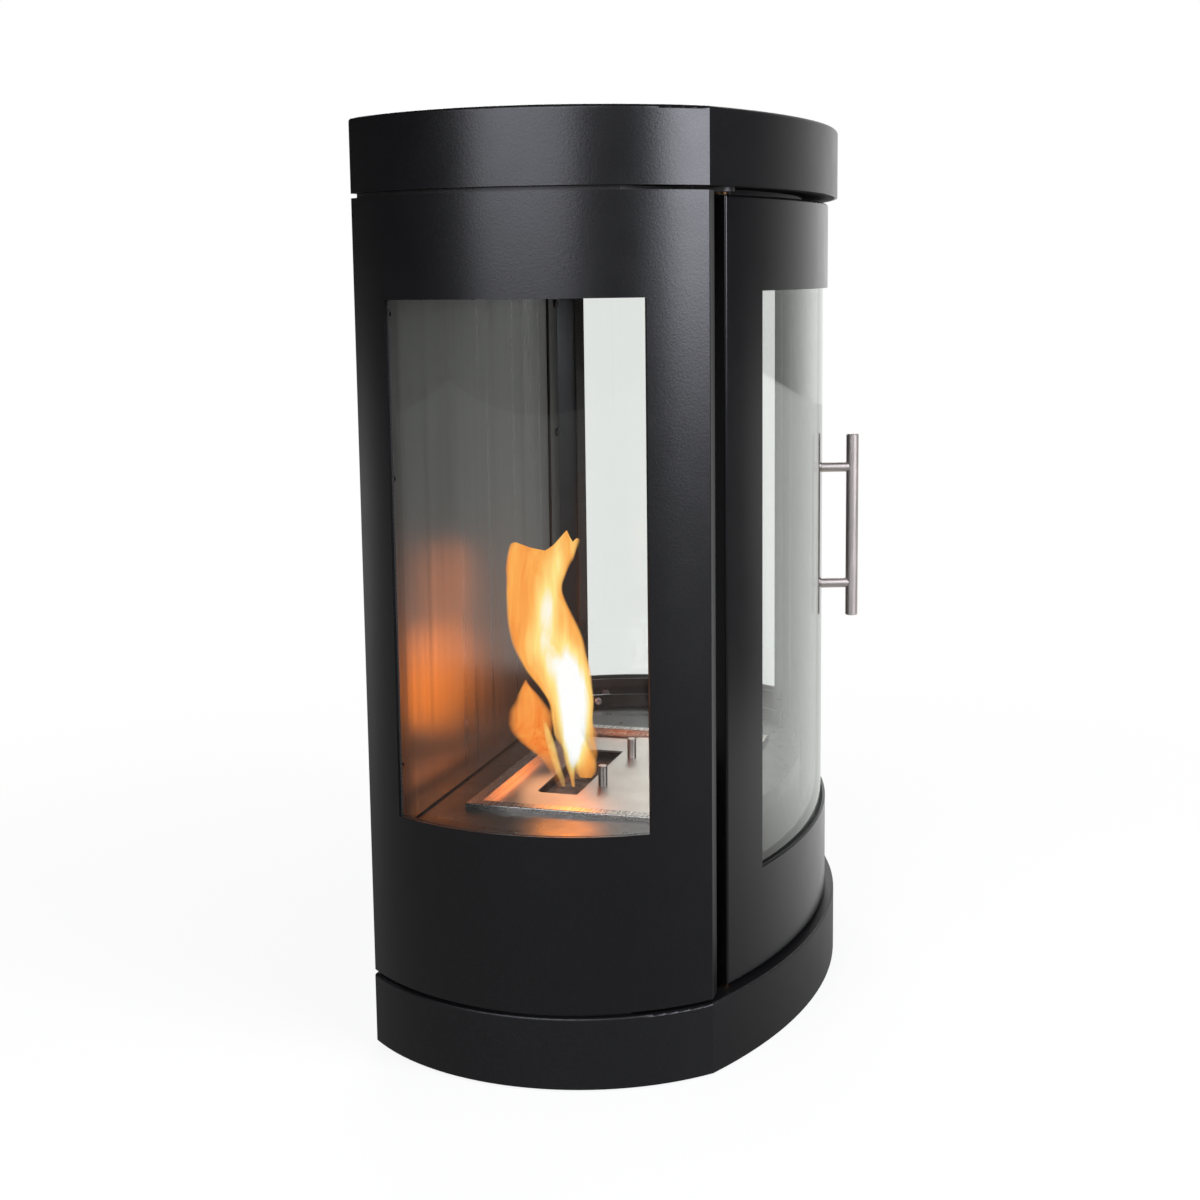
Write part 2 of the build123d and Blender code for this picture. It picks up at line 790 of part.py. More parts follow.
def lid_ring():
    """Flange that closes the lid's underside above the panels and the door."""
    inset = sheet + snug_gap
    ring_plate = plate(inset, inset, inset, lid_bottom, lid_bottom + sheet)
    ring_plate -= plate(lid_ring_width, lid_ring_width, lid_ring_width, lid_bottom, lid_bottom + sheet)
    for x, y in chassis_screw_spots():
        ring_plate -= rod(screw_hole_radius, lid_bottom, lid_bottom + sheet, x, y)
    return ring_plate


# ---------------------------------------------------------------- side glazing
def side_glass():
    inner = side_glass_radius - glass_thickness
    return band(side_centre, inner, side_glass_radius, side_glass_front, side_glass_back,
                side_glass_low, side_glass_high)


def side_glass_tape():
    inner = side_glass_radius + touch_gap
    outer = side_radius - sheet - touch_gap
    tape = band(side_centre, inner, outer, side_glass_front, side_glass_back, side_glass_low, side_glass_high)
    hole = band(side_centre, inner - past, outer + past, side_window_front, side_window_back,
                side_window_sill, side_window_head)
    return tape - hole


def channel(centre, glass_r, start, end, edge, up):
    """Z-shaped holder below (up = 1) or above (up = -1) a curved glass at height `edge`."""
    inner = glass_r - glass_thickness - fit_gap - thin_sheet
    outer = glass_r + tape_thickness - touch_gap
    below = thin_sheet + fit_gap
    profile = [
        (inner, -below),
        (outer - thin_sheet, -below),
        (outer - thin_sheet, -channel_leg),
        (outer, -channel_leg),
        (outer, -fit_gap),
        (inner + thin_sheet, -fit_gap),
        (inner + thin_sheet, channel_lip),
        (inner, channel_lip),
    ]
    return turned(centre, [(radius, edge + up * height) for radius, height in profile], start, end)


def channel_nut_places(centre, glass_r, angles, edge, up):
    """Nut seats on a holder's leg, local +X outwards."""
    seat = head_seat(glass_r + tape_thickness - touch_gap - thin_sheet)
    height = edge - up * (channel_leg + thin_sheet + fit_gap) / 2
    return [radial(centre, seat, angle, height) for angle in angles]


def channel_pair(centre, glass_r, start, end, edges):
    """Both holders of a glass and the nuts that hold them; edges are the glass's low and high ends."""
    holders = []
    nuts = []
    for edge, up in zip(edges, (1, -1)):
        places = channel_nut_places(centre, glass_r, nut_angles(start, end), edge, up)
        holders.append(with_holes(channel(centre, glass_r, start, end, edge, up), places))
        nuts += [facing_in(place, dome_nut(thin_sheet)) for place in places]
    return group(holders), group(nuts)


def side_channel_pair():
    edges = (side_glass_low, side_glass_high)
    return channel_pair(side_centre, side_glass_radius, side_glass_front, side_glass_back, edges)


# ---------------------------------------------------------------- door
def door_frame():
    """Curved steel pan with returns all round and one large window."""
    pan = front_band(door_radius - door_depth, door_radius, door_edge, door_bottom, door_top)
    face = pan.faces().sort_by_distance((0, crown_y * 2, overall_height / 2))[0]
    pan = fillet(face.edges(), bend)
    wall = arc_degrees(sheet, door_radius)
    pan -= front_band(door_radius - door_depth - past, door_radius - sheet, door_edge - wall,
                      door_bottom + sheet, door_top - sheet)
    pan -= front_band(door_radius - door_depth, door_radius + past, door_window_edge,
                      door_window_sill, door_window_head)
    pin_hole = hinge_pin_radius + pin_running_clearance
    pan -= rod(pin_hole, door_bottom, door_bottom + sheet, *hinge_xy)
    pan -= rod(pin_hole, door_top - sheet, door_top, *hinge_xy)
    for z in handle_heights():
        inner = door_radius - 2 * sheet
        pan -= radial_rod(front_centre, handle_angle, z, inner, door_radius + past, screw_hole_radius)
    return pan


def door_glass():
    inner = door_glass_radius - glass_thickness
    return front_band(inner, door_glass_radius, door_glass_edge, door_glass_low, door_glass_high)


def door_glass_tape():
    inner = door_glass_radius + touch_gap
    outer = door_radius - sheet - touch_gap
    tape = front_band(inner, outer, door_glass_edge, door_glass_low, door_glass_high)
    return tape - front_band(inner - past, outer + past, door_window_edge, door_window_sill, door_window_head)


def door_channel_pair():
    edges = (door_glass_low, door_glass_high)
    return channel_pair(front_centre, door_glass_radius, -90 - door_glass_edge, -90 + door_glass_edge, edges)


# ---------------------------------------------------------------- hinges
def hinge_pin_bottom():
    seat = door_bottom + sheet
    pin = rod(hinge_pin_radius, base_top - bush_grip, seat + pin_collar * 2, *hinge_xy)
    return pin + rod(hinge_collar_radius, seat, seat + pin_collar, *hinge_xy)


def hinge_pin_top():
    seat = door_top - sheet
    pin = rod(hinge_pin_radius, seat - pin_collar * 2, lid_bottom - fit_gap, *hinge_xy)
    return pin + rod(hinge_collar_radius, seat - pin_collar, seat, *hinge_xy)


def bush(low, high, flange_low, flange_high):
    bore = hinge_pin_radius + pin_running_clearance
    body = rod(hinge_bush_radius, low, high, *hinge_xy)
    flange = rod(hinge_flange_radius, flange_low, flange_high, *hinge_xy)
    hole = rod(bore, min(low, flange_low), max(high, flange_high), *hinge_xy)
    return body + flange - hole


def hinge_bush_bottom():
    return bush(base_top - bush_grip - bush_end, base_top, base_top, door_bottom - thrust_gap)


def hinge_bush_top():
    return bush(panel_top, lid_bottom, door_top + thrust_gap, panel_top)


def striker_plate():
    """Angle in the door's top corner that meets the magnet."""
    back = firebox_front_radius + magnet_proud + fit_gap
    top = door_top - sheet
    low = magnet_height - striker_drop
    face = radial(front_centre, back + thin_sheet / 2, magnet_angle, (top + low) / 2)
    face *= Box(thin_sheet, striker_width, top - low)
    depth = door_radius - sheet - fit_gap - back
    leg = radial(front_centre, back + depth / 2, magnet_angle, top - thin_sheet / 2)
    return face + leg * Box(depth, striker_width, thin_sheet)


# ---------------------------------------------------------------- handle
def handle_heights():
    return [handle_mid_height + sign * handle_hole_spacing / 2 for sign in (-1, 1)]


def handle_bar():
    half = handle_bar_length / 2
    x, y = polar(front_centre, handle_bar_r, handle_angle)
    bar = rod(handle_bar_radius, handle_mid_height - half, handle_mid_height + half, x, y)
    return chamfer(bar.edges().filter_by(GeomType.CIRCLE), handle_end_chamfer)


def handle_post(z):
    """Post with a saddle for the bar, a foot shaped to the door's curve and a threaded hole."""
    post = radial_rod(front_centre, handle_angle, z, door_radius - sheet / 2, handle_bar_r, handle_post_radius)
    x, y = polar(front_centre, handle_bar_r, handle_angle)
    low = z - 2 * handle_post_radius
    high = z + 2 * handle_post_radius
    post -= rod(handle_bar_radius + pin_running_clearance, low, high, x, y)
    post -= front_band(door_radius - sheet, door_radius + touch_gap, door_edge, low, high)
    thread = screw_shank_radius + pin_running_clearance
    deep = door_radius + handle_screw_depth
    return post - radial_rod(front_centre, handle_angle, z, door_radius - sheet, deep, thread)


def handle_screws():
    seat = head_seat(door_radius - sheet)
    screw = pan_screw(sheet + handle_screw_depth - screw_end_gap)
    return group(facing_in(radial(front_centre, seat, handle_angle, z), screw) for z in handle_heights())


# ---------------------------------------------------------------- burner
def burner_frame():
    """Flange with a turned-down lip, and the recess that carries the burner plate."""
    half = burner_half_length
    frame = block(-half, half, burner_front, burner_back, floor_level, burner_top)
    frame = fillet(frame.edges().group_by(Axis.Z)[-1], burner_fold)
    frame -= block(-half + burner_sheet, half - burner_sheet, burner_front + burner_sheet,
                   burner_back - burner_sheet, floor_level, burner_top - burner_sheet)
    wall = burner_sheet
    frame += block(-recess_half - wall, recess_half + wall, recess_front - wall, recess_back + wall,
                   plate_low - wall, burner_top - burner_sheet / 2)
    frame -= block(-recess_half, recess_half, recess_front, recess_back, plate_low, burner_top + past)
    return frame - block(-recess_half + burner_ledge, recess_half - burner_ledge, recess_front + burner_ledge,
                         recess_back - burner_ledge, plate_low - 2 * wall, plate_low + past)


def burner_plate():
    panel = block(-recess_half + snug_gap, recess_half - snug_gap, recess_front + snug_gap,
                  recess_back - snug_gap, plate_low, burner_plate_top)
    slot = RectangleRounded(2 * slot_half_length, slot_width, slot_corner)
    return panel - Pos(0, slot_back - slot_width / 2, plate_low) * extrude(slot, 2 * thin_sheet)


def fuel_box():
    half = fuel_box_half_length
    box = block(-half, half, box_front, box_back, plate_low - fuel_box_depth, plate_low)
    return box - block(-half + burner_sheet, half - burner_sheet, box_front + burner_sheet,
                       box_back - burner_sheet, plate_low - fuel_box_depth + burner_sheet, plate_low + past)


def ceramic_fleece():
    gap = burner_sheet + fit_gap
    low = plate_low - fuel_box_depth + burner_sheet
    half = fuel_box_half_length - gap
    return block(-half, half, box_front + gap, box_back - gap, low, low + fleece_fill)


def slider_rail():
    """Right-hand guide that keeps the slide plate down."""
    outer = recess_half - snug_gap
    top = slider_top + fit_gap
    front = recess_front + rail_end_gap
    back = recess_back - rail_end_gap
    web = block(outer - rail_wall, outer, front, back, burner_plate_top, top + rail_wall)
    lip = block(outer - rail_lip, outer, front, back, top, top + rail_wall)
    return web + lip


def slider_rails():
    return group([slider_rail(), mirrored(slider_rail())])


def slider_plate():
    panel = block(-slider_half, slider_half, slider_back - slider_length, slider_back, slider_low, slider_top)
    return fillet(panel.edges().filter_by(Axis.Z), slider_corner)


def slider_post(x):
    post = rod(slider_post_radius, slider_top, slider_top + slider_post_height, x, slider_back - slider_post_setback)
    return fillet(post.edges().group_by(Axis.Z)[-1], slider_post_round)


# ---------------------------------------------------------------- write every sub-part
right_panel = side_panel()
right_post = back_post()
right_jamb = front_post()
right_glass = side_glass()
right_tape = side_glass_tape()
right_channels, right_channel_nuts = side_channel_pair()
door_channels, door_channel_nuts = door_channel_pair()

nodes = {
    "base_shell": base_shell(),
    "base_floor_plate": base_floor_plate(),
    "foot_pads": foot_pads(),
    "base_screws": base_screws(),
    "bottom_plate": bottom_plate(),
    "top_plate": top_plate(),
    "side_panel_right": right_panel,
    "side_panel_left": mirrored(right_panel),
    "back_panel": back_panel(),
    "back_panel_screws": back_panel_screws(),
    "back_liner": back_liner(),
    "back_post_right": right_post,
    "back_post_left": mirrored(right_post),
    "back_post_screws": post_screws(),
    "front_post_right": right_jamb,
    "front_post_left": mirrored(right_jamb),
    "front_header": front_header(),
    "front_apron": front_apron(),
    "magnet_catch": magnet_catch(),
    "catch_magnet": catch_magnet(),
    "floor_pan": floor_pan(),
    "floor_pan_screws": floor_pan_screws(),
    "floor_brackets": floor_brackets(),
    "heat_baffle": heat_baffle(),
    "baffle_spacers": baffle_spacers(),
    "lid_shell": lid_shell(),
    "lid_ring": lid_ring(),
    "lid_screws": lid_screws(),
    "side_glass_right": right_glass,
    "side_glass_left": mirrored(right_glass),
    "side_glass_tape_right": right_tape,
    "side_glass_tape_left": mirrored(right_tape),
    "side_glass_channels_right": right_channels,
    "side_glass_channels_left": mirrored(right_channels),
    "side_channel_nuts_right": right_channel_nuts,
    "side_channel_nuts_left": mirrored(right_channel_nuts),
    "hinge_bush_bottom": hinge_bush_bottom(),
    "hinge_bush_top": hinge_bush_top(),
    "door_frame": door_frame(),
    "door_glass": door_glass(),
    "door_glass_tape": door_glass_tape(),
    "door_glass_channels": door_channels,
    "door_channel_nuts": door_channel_nuts,
    "hinge_pin_bottom": hinge_pin_bottom(),
    "hinge_pin_top": hinge_pin_top(),
    "striker_plate": striker_plate(),
    "handle_bar": handle_bar(),
    "handle_post_lower": handle_post(handle_heights()[0]),
    "handle_post_upper": handle_post(handle_heights()[1]),
    "handle_screws": handle_screws(),
    "burner_frame": burner_frame(),
    "burner_plate": burner_plate(),
    "fuel_box": fuel_box(),
    "ceramic_fleece": ceramic_fleece(),
    "slider_rails": slider_rails(),
    "slider_plate": slider_plate(),
    "slider_post_left": slider_post(-slider_post_x),
    "slider_post_right": slider_post(slider_post_x),
}

for name, shape in nodes.items():
    export_step(shape, f"parts/{name}.step")
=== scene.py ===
"""Looks for a free-standing bioethanol fireplace with curved glazed sides and a burning slot burner."""
import math

import bpy
import numpy as np
from mathutils import Matrix, Vector, noise


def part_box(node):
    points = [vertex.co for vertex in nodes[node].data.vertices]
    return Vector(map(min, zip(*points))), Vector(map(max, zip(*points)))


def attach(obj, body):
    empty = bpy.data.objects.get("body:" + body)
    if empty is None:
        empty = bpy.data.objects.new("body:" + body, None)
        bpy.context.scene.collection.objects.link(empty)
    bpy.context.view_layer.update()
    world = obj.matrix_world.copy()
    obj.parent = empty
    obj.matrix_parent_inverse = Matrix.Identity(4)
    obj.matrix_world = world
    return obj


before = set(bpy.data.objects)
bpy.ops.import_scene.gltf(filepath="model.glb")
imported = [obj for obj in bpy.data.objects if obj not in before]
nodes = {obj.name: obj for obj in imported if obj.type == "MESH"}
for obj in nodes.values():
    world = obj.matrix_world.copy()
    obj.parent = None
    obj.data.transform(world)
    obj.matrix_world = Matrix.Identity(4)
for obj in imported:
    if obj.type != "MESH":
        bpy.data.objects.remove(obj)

bl_info = {
    "name": "Bioethanol fireplace",
    "version": (1, 0, 0),
    "blender": (4, 5, 0),
    "location": "3D View > Sidebar > Fireplace",
    "description": "Finishes, fire and studio for a bioethanol fireplace with curved glass",
    "category": "Object",
}

MM = 0.001  # metres in a millimetre


# ---------------------------------------------------------------- small helpers
def shade(code):
    """An sRGB hex colour as linear RGBA."""
    parts = [int(code[i:i + 2], 16) / 255 for i in (1, 3, 5)]
    linear = [c / 12.92 if c <= 0.04045 else ((c + 0.055) / 1.055) ** 2.4 for c in parts]
    return (*linear, 1.0)


def tinted(colour, factor=1.0):
    """A linear colour as RGBA, made lighter or darker by a factor."""
    return (*[min(1.0, c * factor) for c in colour[:3]], 1.0)


def add(tree, kind, settings=None, values=None, links=None, stops=None):
    """Adds a node with its settings, its inputs' values, the sockets that feed it and a ramp's stops."""
    node = tree.nodes.new(kind)
    for name, value in (settings or {}).items():
        setattr(node, name, value)
    for key, value in (values or {}).items():
        node.inputs[key].default_value = value
    for key, source in (links or {}).items():
        tree.links.new(source, node.inputs[key])
    if stops:
        band = node.color_ramp.elements
        band.remove(band[-1])
        band[0].position, band[0].color = stops[0]
        for place, tone in stops[1:]:
            band.new(place).color = tone
    return node


def blank_material(name):
    """A material with an empty tree."""
    material = bpy.data.materials.new(name)
    material.use_nodes = True
    material.node_tree.nodes.clear()
    return material, material.node_tree


def millimetres(tree, size=1.0):
    """Object coordinates in units of size: millimetres, one for all three axes or one for each."""
    sizes = size if isinstance(size, (tuple, list)) else (size,) * 3
    place = add(tree, "ShaderNodeTexCoord")
    scale = tuple(1000.0 / s for s in sizes)
    return add(tree, "ShaderNodeMapping", values={"Scale": scale}, links={"Vector": place.outputs["Object"]}).outputs[0]


def surfaced(material, shader):
    """The material, with its last shader joined to an output."""
    add(material.node_tree, "ShaderNodeOutputMaterial", links={"Surface": shader.outputs[0]})
    return material


def opaque(material, tones, rough, relief=None, **fixed):
    """An opaque finish from patterns that are in the material's tree.

    Tones is a pattern and the colours at some of its levels. Rough is one roughness, or a pattern, the roughness at
    two of its levels, and those levels where they aren't 0 and 1. Relief is a pattern, its strength and its depth in
    millimetres. Fixed values are the same all over, so they are set on the shader's own sockets.
    """
    tree = material.node_tree
    pattern, *stops = tones
    colour = add(tree, "ShaderNodeValToRGB", links={"Fac": pattern}, stops=stops)
    links = {"Base Color": colour.outputs["Color"]}
    if isinstance(rough, tuple):
        pattern, first, last, *levels = rough
        low, high = levels or (0.0, 1.0)
        dull = add(tree, "ShaderNodeMapRange", links={"Value": pattern},
                   values={"From Min": low, "From Max": high, "To Min": first, "To Max": last})
        links["Roughness"] = dull.outputs[0]
    else:
        fixed["Roughness"] = rough
    if relief:
        pattern, strength, depth = relief
        bump = add(tree, "ShaderNodeBump", values={"Strength": strength, "Distance": depth * MM},
                   links={"Height": pattern})
        links["Normal"] = bump.outputs[0]
    return surfaced(material, add(tree, "ShaderNodeBsdfPrincipled", values=fixed, links=links))


def paint(material, *names):
    """Gives CAD nodes their finish."""
    for name in names:
        body = nodes[name]
        if not body.material_slots:
            body.data.materials.append(material)
        for place in body.material_slots:
            place.material = material


# ---------------------------------------------------------------- sizes and colours that a user may change
class CoatSettings(bpy.types.PropertyGroup):
    """Powder coat on the outer steel"""
    colour: bpy.props.FloatVectorProperty(
        name="Coat colour", description="Colour of the powder coat", subtype="COLOR", min=0, max=1,
        default=shade("#09090a")[:3])
    grain: bpy.props.FloatProperty(
        name="Grain", description="Width of a grain of the texture", unit="LENGTH", default=1.7 * MM, min=0.1 * MM)
    roughness: bpy.props.FloatProperty(
        name="Roughness", description="How dull the coat is", subtype="FACTOR", default=0.31, min=0, max=1)


class LinerSettings(bpy.types.PropertyGroup):
    """Satin painted steel round the fire"""
    colour: bpy.props.FloatVectorProperty(
        name="Liner colour", description="Colour of the back wall", subtype="COLOR", min=0, max=1,
        default=shade("#22211e")[:3])
    streak: bpy.props.FloatProperty(
        name="Streak", description="Width of an upright streak", unit="LENGTH", default=14 * MM, min=1 * MM)


class GlassSettings(bpy.types.PropertyGroup):
    """Curved panes"""
    tint: bpy.props.FloatVectorProperty(
        name="Glass tint", description="What one face of a pane lets through", subtype="COLOR", min=0, max=1,
        default=shade("#fbfcfb")[:3])


class BurnerSettings(bpy.types.PropertyGroup):
    """Stainless steel of the burner and the handle"""
    colour: bpy.props.FloatVectorProperty(
        name="Steel colour", description="Colour of the stainless steel", subtype="COLOR", min=0, max=1,
        default=shade("#aea7a1")[:3])
    brush: bpy.props.FloatProperty(
        name="Brush line", description="Width of a brushed line", unit="LENGTH", default=0.5 * MM, min=0.1 * MM)


class FleeceSettings(bpy.types.PropertyGroup):
    """Loose fibres on the ceramic fleece"""
    spacing: bpy.props.FloatProperty(
        name="Fibre spacing", description="Distance between fibres", unit="LENGTH", default=3.2 * MM, min=1 * MM)
    length: bpy.props.FloatProperty(
        name="Fibre length", description="Length of a loose fibre", unit="LENGTH", default=5 * MM, min=1 * MM)
    seed: bpy.props.IntProperty(name="Fibre seed", description="Fixed seed of the fibres' places", default=7)


class FootSettings(bpy.types.PropertyGroup):
    """Grip ribs of the rubber feet"""
    ribs: bpy.props.IntProperty(name="Ribs", description="Ribs round one foot", default=28, min=3)
    radius: bpy.props.FloatProperty(
        name="Rib radius", description="Radius of one rib", unit="LENGTH", default=0.8 * MM, min=0.1 * MM)


class FireSettings(bpy.types.PropertyGroup):
    """The flame over the slot"""
    outer: bpy.props.FloatVectorProperty(
        name="Outer colour", description="Colour of the flame's cool edge", subtype="COLOR", min=0, max=1,
        default=shade("#f47c2a")[:3])
    middle: bpy.props.FloatVectorProperty(
        name="Middle colour", description="Colour of the flame's body", subtype="COLOR", min=0, max=1,
        default=shade("#ffb055")[:3])
    inner: bpy.props.FloatVectorProperty(
        name="Inner colour", description="Colour of the flame's bright bands", subtype="COLOR", min=0, max=1,
        default=shade("#ffe48a")[:3])
    core: bpy.props.FloatVectorProperty(
        name="Core colour", description="Colour of the flame's hottest part", subtype="COLOR", min=0, max=1,
        default=shade("#ffffff")[:3])
    glow: bpy.props.FloatProperty(
        name="Glow", description="Power that the lamps in the flame have shares of", unit="POWER", default=0.4, min=0)


class StudioSettings(bpy.types.PropertyGroup):
    """Floor and camera"""
    floor: bpy.props.FloatVectorProperty(
        name="Floor colour", description="Colour of the pale floor", subtype="COLOR", min=0, max=1,
        default=shade("#f2f2f0")[:3])
    lens: bpy.props.FloatProperty(
        name="Lens", description="Focal length of the camera", unit="CAMERA", default=53.67, min=10)


GROUPS = {
    "coat": CoatSettings,
    "liner": LinerSettings,
    "glass": GlassSettings,
    "burner": BurnerSettings,
    "fleece": FleeceSettings,
    "feet": FootSettings,
    "fire": FireSettings,
    "studio": StudioSettings,
}


def settings(group):
    """The scene's settings of one group."""
    return getattr(bpy.context.scene, "fireplace_" + group)


# ---------------------------------------------------------------- finishes
def powder_coat(name, coat, extra=0.0):
    """Polyester powder coat, sprayed and baked: a satin black with a fine pebbled grain that breaks up highlights.

    Extra is how much duller it is than the settings say: more on the scuffed base, less on the polished door.
    """
    material, tree = blank_material(name)
    grain = add(tree, "ShaderNodeTexNoise", values={"Scale": 1.0, "Detail": 2.0, "Roughness": 0.6},
                links={"Vector": millimetres(tree, coat.grain / MM)}).outputs["Fac"]
    # slow ripple of the cured film, about 25 mm long
    ripple = add(tree, "ShaderNodeTexNoise", values={"Scale": 1.0, "Detail": 1.0},
                 links={"Vector": millimetres(tree, 25)}).outputs["Fac"]
    dull = coat.roughness + extra
    return opaque(material, (grain, (0.35, tinted(coat.colour)), (0.7, tinted(coat.colour, 1.5))),
                  (ripple, dull - 0.012, dull + 0.012, 0.3, 0.7), (grain, 0.45, 0.14), IOR=1.5)


def satin_liner(name, liner, bright=1.0):
    """Heat-proof satin paint on rolled sheet: grey-olive with soft upright streaks of gloss, whose lighter and darker
    colour bands are painted reflection.
    """
    material, tree = blank_material(name)
    width = liner.streak / MM
    streak = add(tree, "ShaderNodeTexNoise", values={"Scale": 1.0, "Detail": 3.0, "Roughness": 0.55},
                 links={"Vector": millimetres(tree, (width, width, 900))}).outputs["Fac"]
    fine = add(tree, "ShaderNodeTexNoise", values={"Scale": 1.0, "Detail": 1.0},
               links={"Vector": millimetres(tree, (1.2, 1.2, 60))}).outputs["Fac"]
    # painted reflection: the streaks also make the colour darker and lighter, as upright reflections would; the
    # roughness streaks are the paint's own
    low, high = tinted(liner.colour, bright * 0.8), tinted(liner.colour, bright * 1.25)
    return opaque(material, (streak, (0.35, low), (0.65, high)), (streak, 0.26, 0.38, 0.3, 0.7), (fine, 0.12, 0.05),
                  IOR=1.5)


def satin_black_sheet(name, code, roughness):
    """Cold-rolled sheet with a thin stoved black: flatter than the powder coat, with faint rolling marks."""
    material, tree = blank_material(name)
    marks = add(tree, "ShaderNodeTexNoise", values={"Scale": 1.0, "Detail": 2.0},
                links={"Vector": millimetres(tree, (3, 3, 40))}).outputs["Fac"]
    return opaque(material, (marks, (0.35, shade(code)), (0.75, tinted(shade(code), 1.5))),
                  (marks, roughness - 0.05, roughness + 0.05), (marks, 0.1, 0.05), IOR=1.5)


def brushed_stainless(name, steel, along, roughness, bright=1.0):
    """Chromium steel, brushed one way: long fine lines that stretch highlights across the grain.

    Along is the axis that the lines follow, and bright is how much lighter the steel is than the settings say; above 1
    it is a painted highlight.
    """
    material, tree = blank_material(name)
    size = [steel.brush / MM] * 3
    size[along] = 45.0  # a brush line runs about 45 mm before it fades
    brush = add(tree, "ShaderNodeTexNoise", values={"Scale": 1.0, "Detail": 2.0, "Roughness": 0.6},
                links={"Vector": millimetres(tree, size)}).outputs["Fac"]
    cloud = add(tree, "ShaderNodeTexNoise", values={"Scale": 1.0, "Detail": 2.0},
                links={"Vector": millimetres(tree, 30)}).outputs["Fac"]
    tone = add(tree, "ShaderNodeMix", {"data_type": "FLOAT"}, {"Factor": 0.4}, {"A": brush, "B": cloud}).outputs[0]
    low, high = tinted(steel.colour, bright * 0.82), tinted(steel.colour, bright * 1.1)
    return opaque(material, (tone, (0.35, low), (0.65, high)), (brush, roughness - 0.06, roughness + 0.08, 0.3, 0.7),
                  (brush, 0.25, 0.03), Metallic=1.0)


def heat_tinted_steel(name):
    """Stainless box walls that burn dry at every fire: straw and brown oxide clouds over dull steel."""
    material, tree = blank_material(name)
    cloud = add(tree, "ShaderNodeTexNoise", values={"Scale": 1.0, "Detail": 4.0},
                links={"Vector": millimetres(tree, (18, 18, 12))}).outputs["Fac"]
    return opaque(material, (cloud, (0.3, shade("#3b2a20")), (0.5, shade("#6b4a35")), (0.7, shade("#8f7a66"))),
                  (cloud, 0.55, 0.35), (cloud, 0.1, 0.1), Metallic=0.8)


def mill_sheet(name):
    """Bare rolled steel of the baffle: pale mill grey with dull patches."""
    material, tree = blank_material(name)
    patch = add(tree, "ShaderNodeTexNoise", values={"Scale": 1.0, "Detail": 3.0},
                links={"Vector": millimetres(tree, 22)}).outputs["Fac"]
    return opaque(material, (patch, (0.35, shade("#6d6a65")), (0.7, shade("#8d8a84"))), (patch, 0.4, 0.6),
                  Metallic=0.7)


def galvanised_sheet(name):
    """Hot-dip galvanised sheet: zinc spangles about 9 mm across, each with its own grey."""
    material, tree = blank_material(name)
    spangle = add(tree, "ShaderNodeTexVoronoi", values={"Scale": 1.0}, links={"Vector": millimetres(tree, 9)})
    frost = add(tree, "ShaderNodeTexNoise", values={"Scale": 1.0, "Detail": 3.0},
                links={"Vector": millimetres(tree, 1.5)})
    level = add(tree, "ShaderNodeSeparateColor", links={"Color": spangle.outputs["Color"]})
    mixed = add(tree, "ShaderNodeMix", {"data_type": "FLOAT"}, {"Factor": 0.35},
                {"A": level.outputs[0], "B": frost.outputs["Fac"]}).outputs[0]
    return opaque(material, (mixed, (0.1, shade("#8b9094")), (0.9, shade("#b4b9bc"))), (mixed, 0.32, 0.5),
                  Metallic=0.95)


def plated_screw(name, code, metallic, roughness):
    """Small plated or blackened steel: a soft speckle where the coating is thinner."""
    material, tree = blank_material(name)
    speck = add(tree, "ShaderNodeTexNoise", values={"Scale": 1.0, "Detail": 2.0},
                links={"Vector": millimetres(tree, 0.8)}).outputs["Fac"]
    return opaque(material, (speck, (0.3, tinted(shade(code), 0.8)), (0.7, shade(code))),
                  (speck, roughness - 0.06, roughness + 0.1), (speck, 0.15, 0.05), Metallic=metallic)


def turned_pin(name, code):
    """Bright turned steel or bronze: fine rings round an upright axis."""
    material, tree = blank_material(name)
    rings = add(tree, "ShaderNodeTexWave", {"bands_direction": "Z"}, {"Scale": 0.3, "Distortion": 0.4, "Detail": 1.0},
                {"Vector": millimetres(tree)}).outputs["Fac"]
    return opaque(material, (rings, (0.0, tinted(shade(code), 0.75)), (1.0, shade(code))), (rings, 0.25, 0.4),
                  Metallic=1.0)


def moulded_rubber(name):
    """Moulded black rubber: almost no shine and a powdery bloom."""
    material, tree = blank_material(name)
    bloom = add(tree, "ShaderNodeTexNoise", values={"Scale": 1.0, "Detail": 4.0},
                links={"Vector": millimetres(tree, 4)}).outputs["Fac"]
    return opaque(material, (bloom, (0.4, shade("#1b1b1b")), (0.8, shade("#2c2b2a"))), 0.85, (bloom, 0.2, 0.1),
                  IOR=1.52)


def moulded_abs(name, code, grain):
    """Moulded black plastic or pressed ferrite: spark-eroded grain on a dull dark body."""
    material, tree = blank_material(name)
    spark = add(tree, "ShaderNodeTexNoise", values={"Scale": 1.0, "Detail": 3.0},
                links={"Vector": millimetres(tree, grain)}).outputs["Fac"]
    return opaque(material, (spark, (0.4, shade(code)), (0.8, tinted(shade(code), 1.7))), 0.5, (spark, 0.3, 0.08),
                  IOR=1.53)


def woven_tape(name):
    """Black woven glass-fibre tape: a plain weave of flat threads about 1.4 mm wide."""
    material, tree = blank_material(name)
    place = millimetres(tree)
    warp, weft = [add(tree, "ShaderNodeTexWave", {"bands_direction": way}, {"Scale": scale, "Distortion": 0.3},
                      {"Vector": place}).outputs["Fac"] for way, scale in (("Z", 0.22), ("DIAGONAL", 0.2))]
    weave = add(tree, "ShaderNodeMath", {"operation": "MAXIMUM"}, links={0: warp, 1: weft}).outputs[0]
    return opaque(material, (weave, (0.2, shade("#0f0f0f")), (0.95, shade("#302f2e"))), 0.8, (weave, 0.5, 0.2))


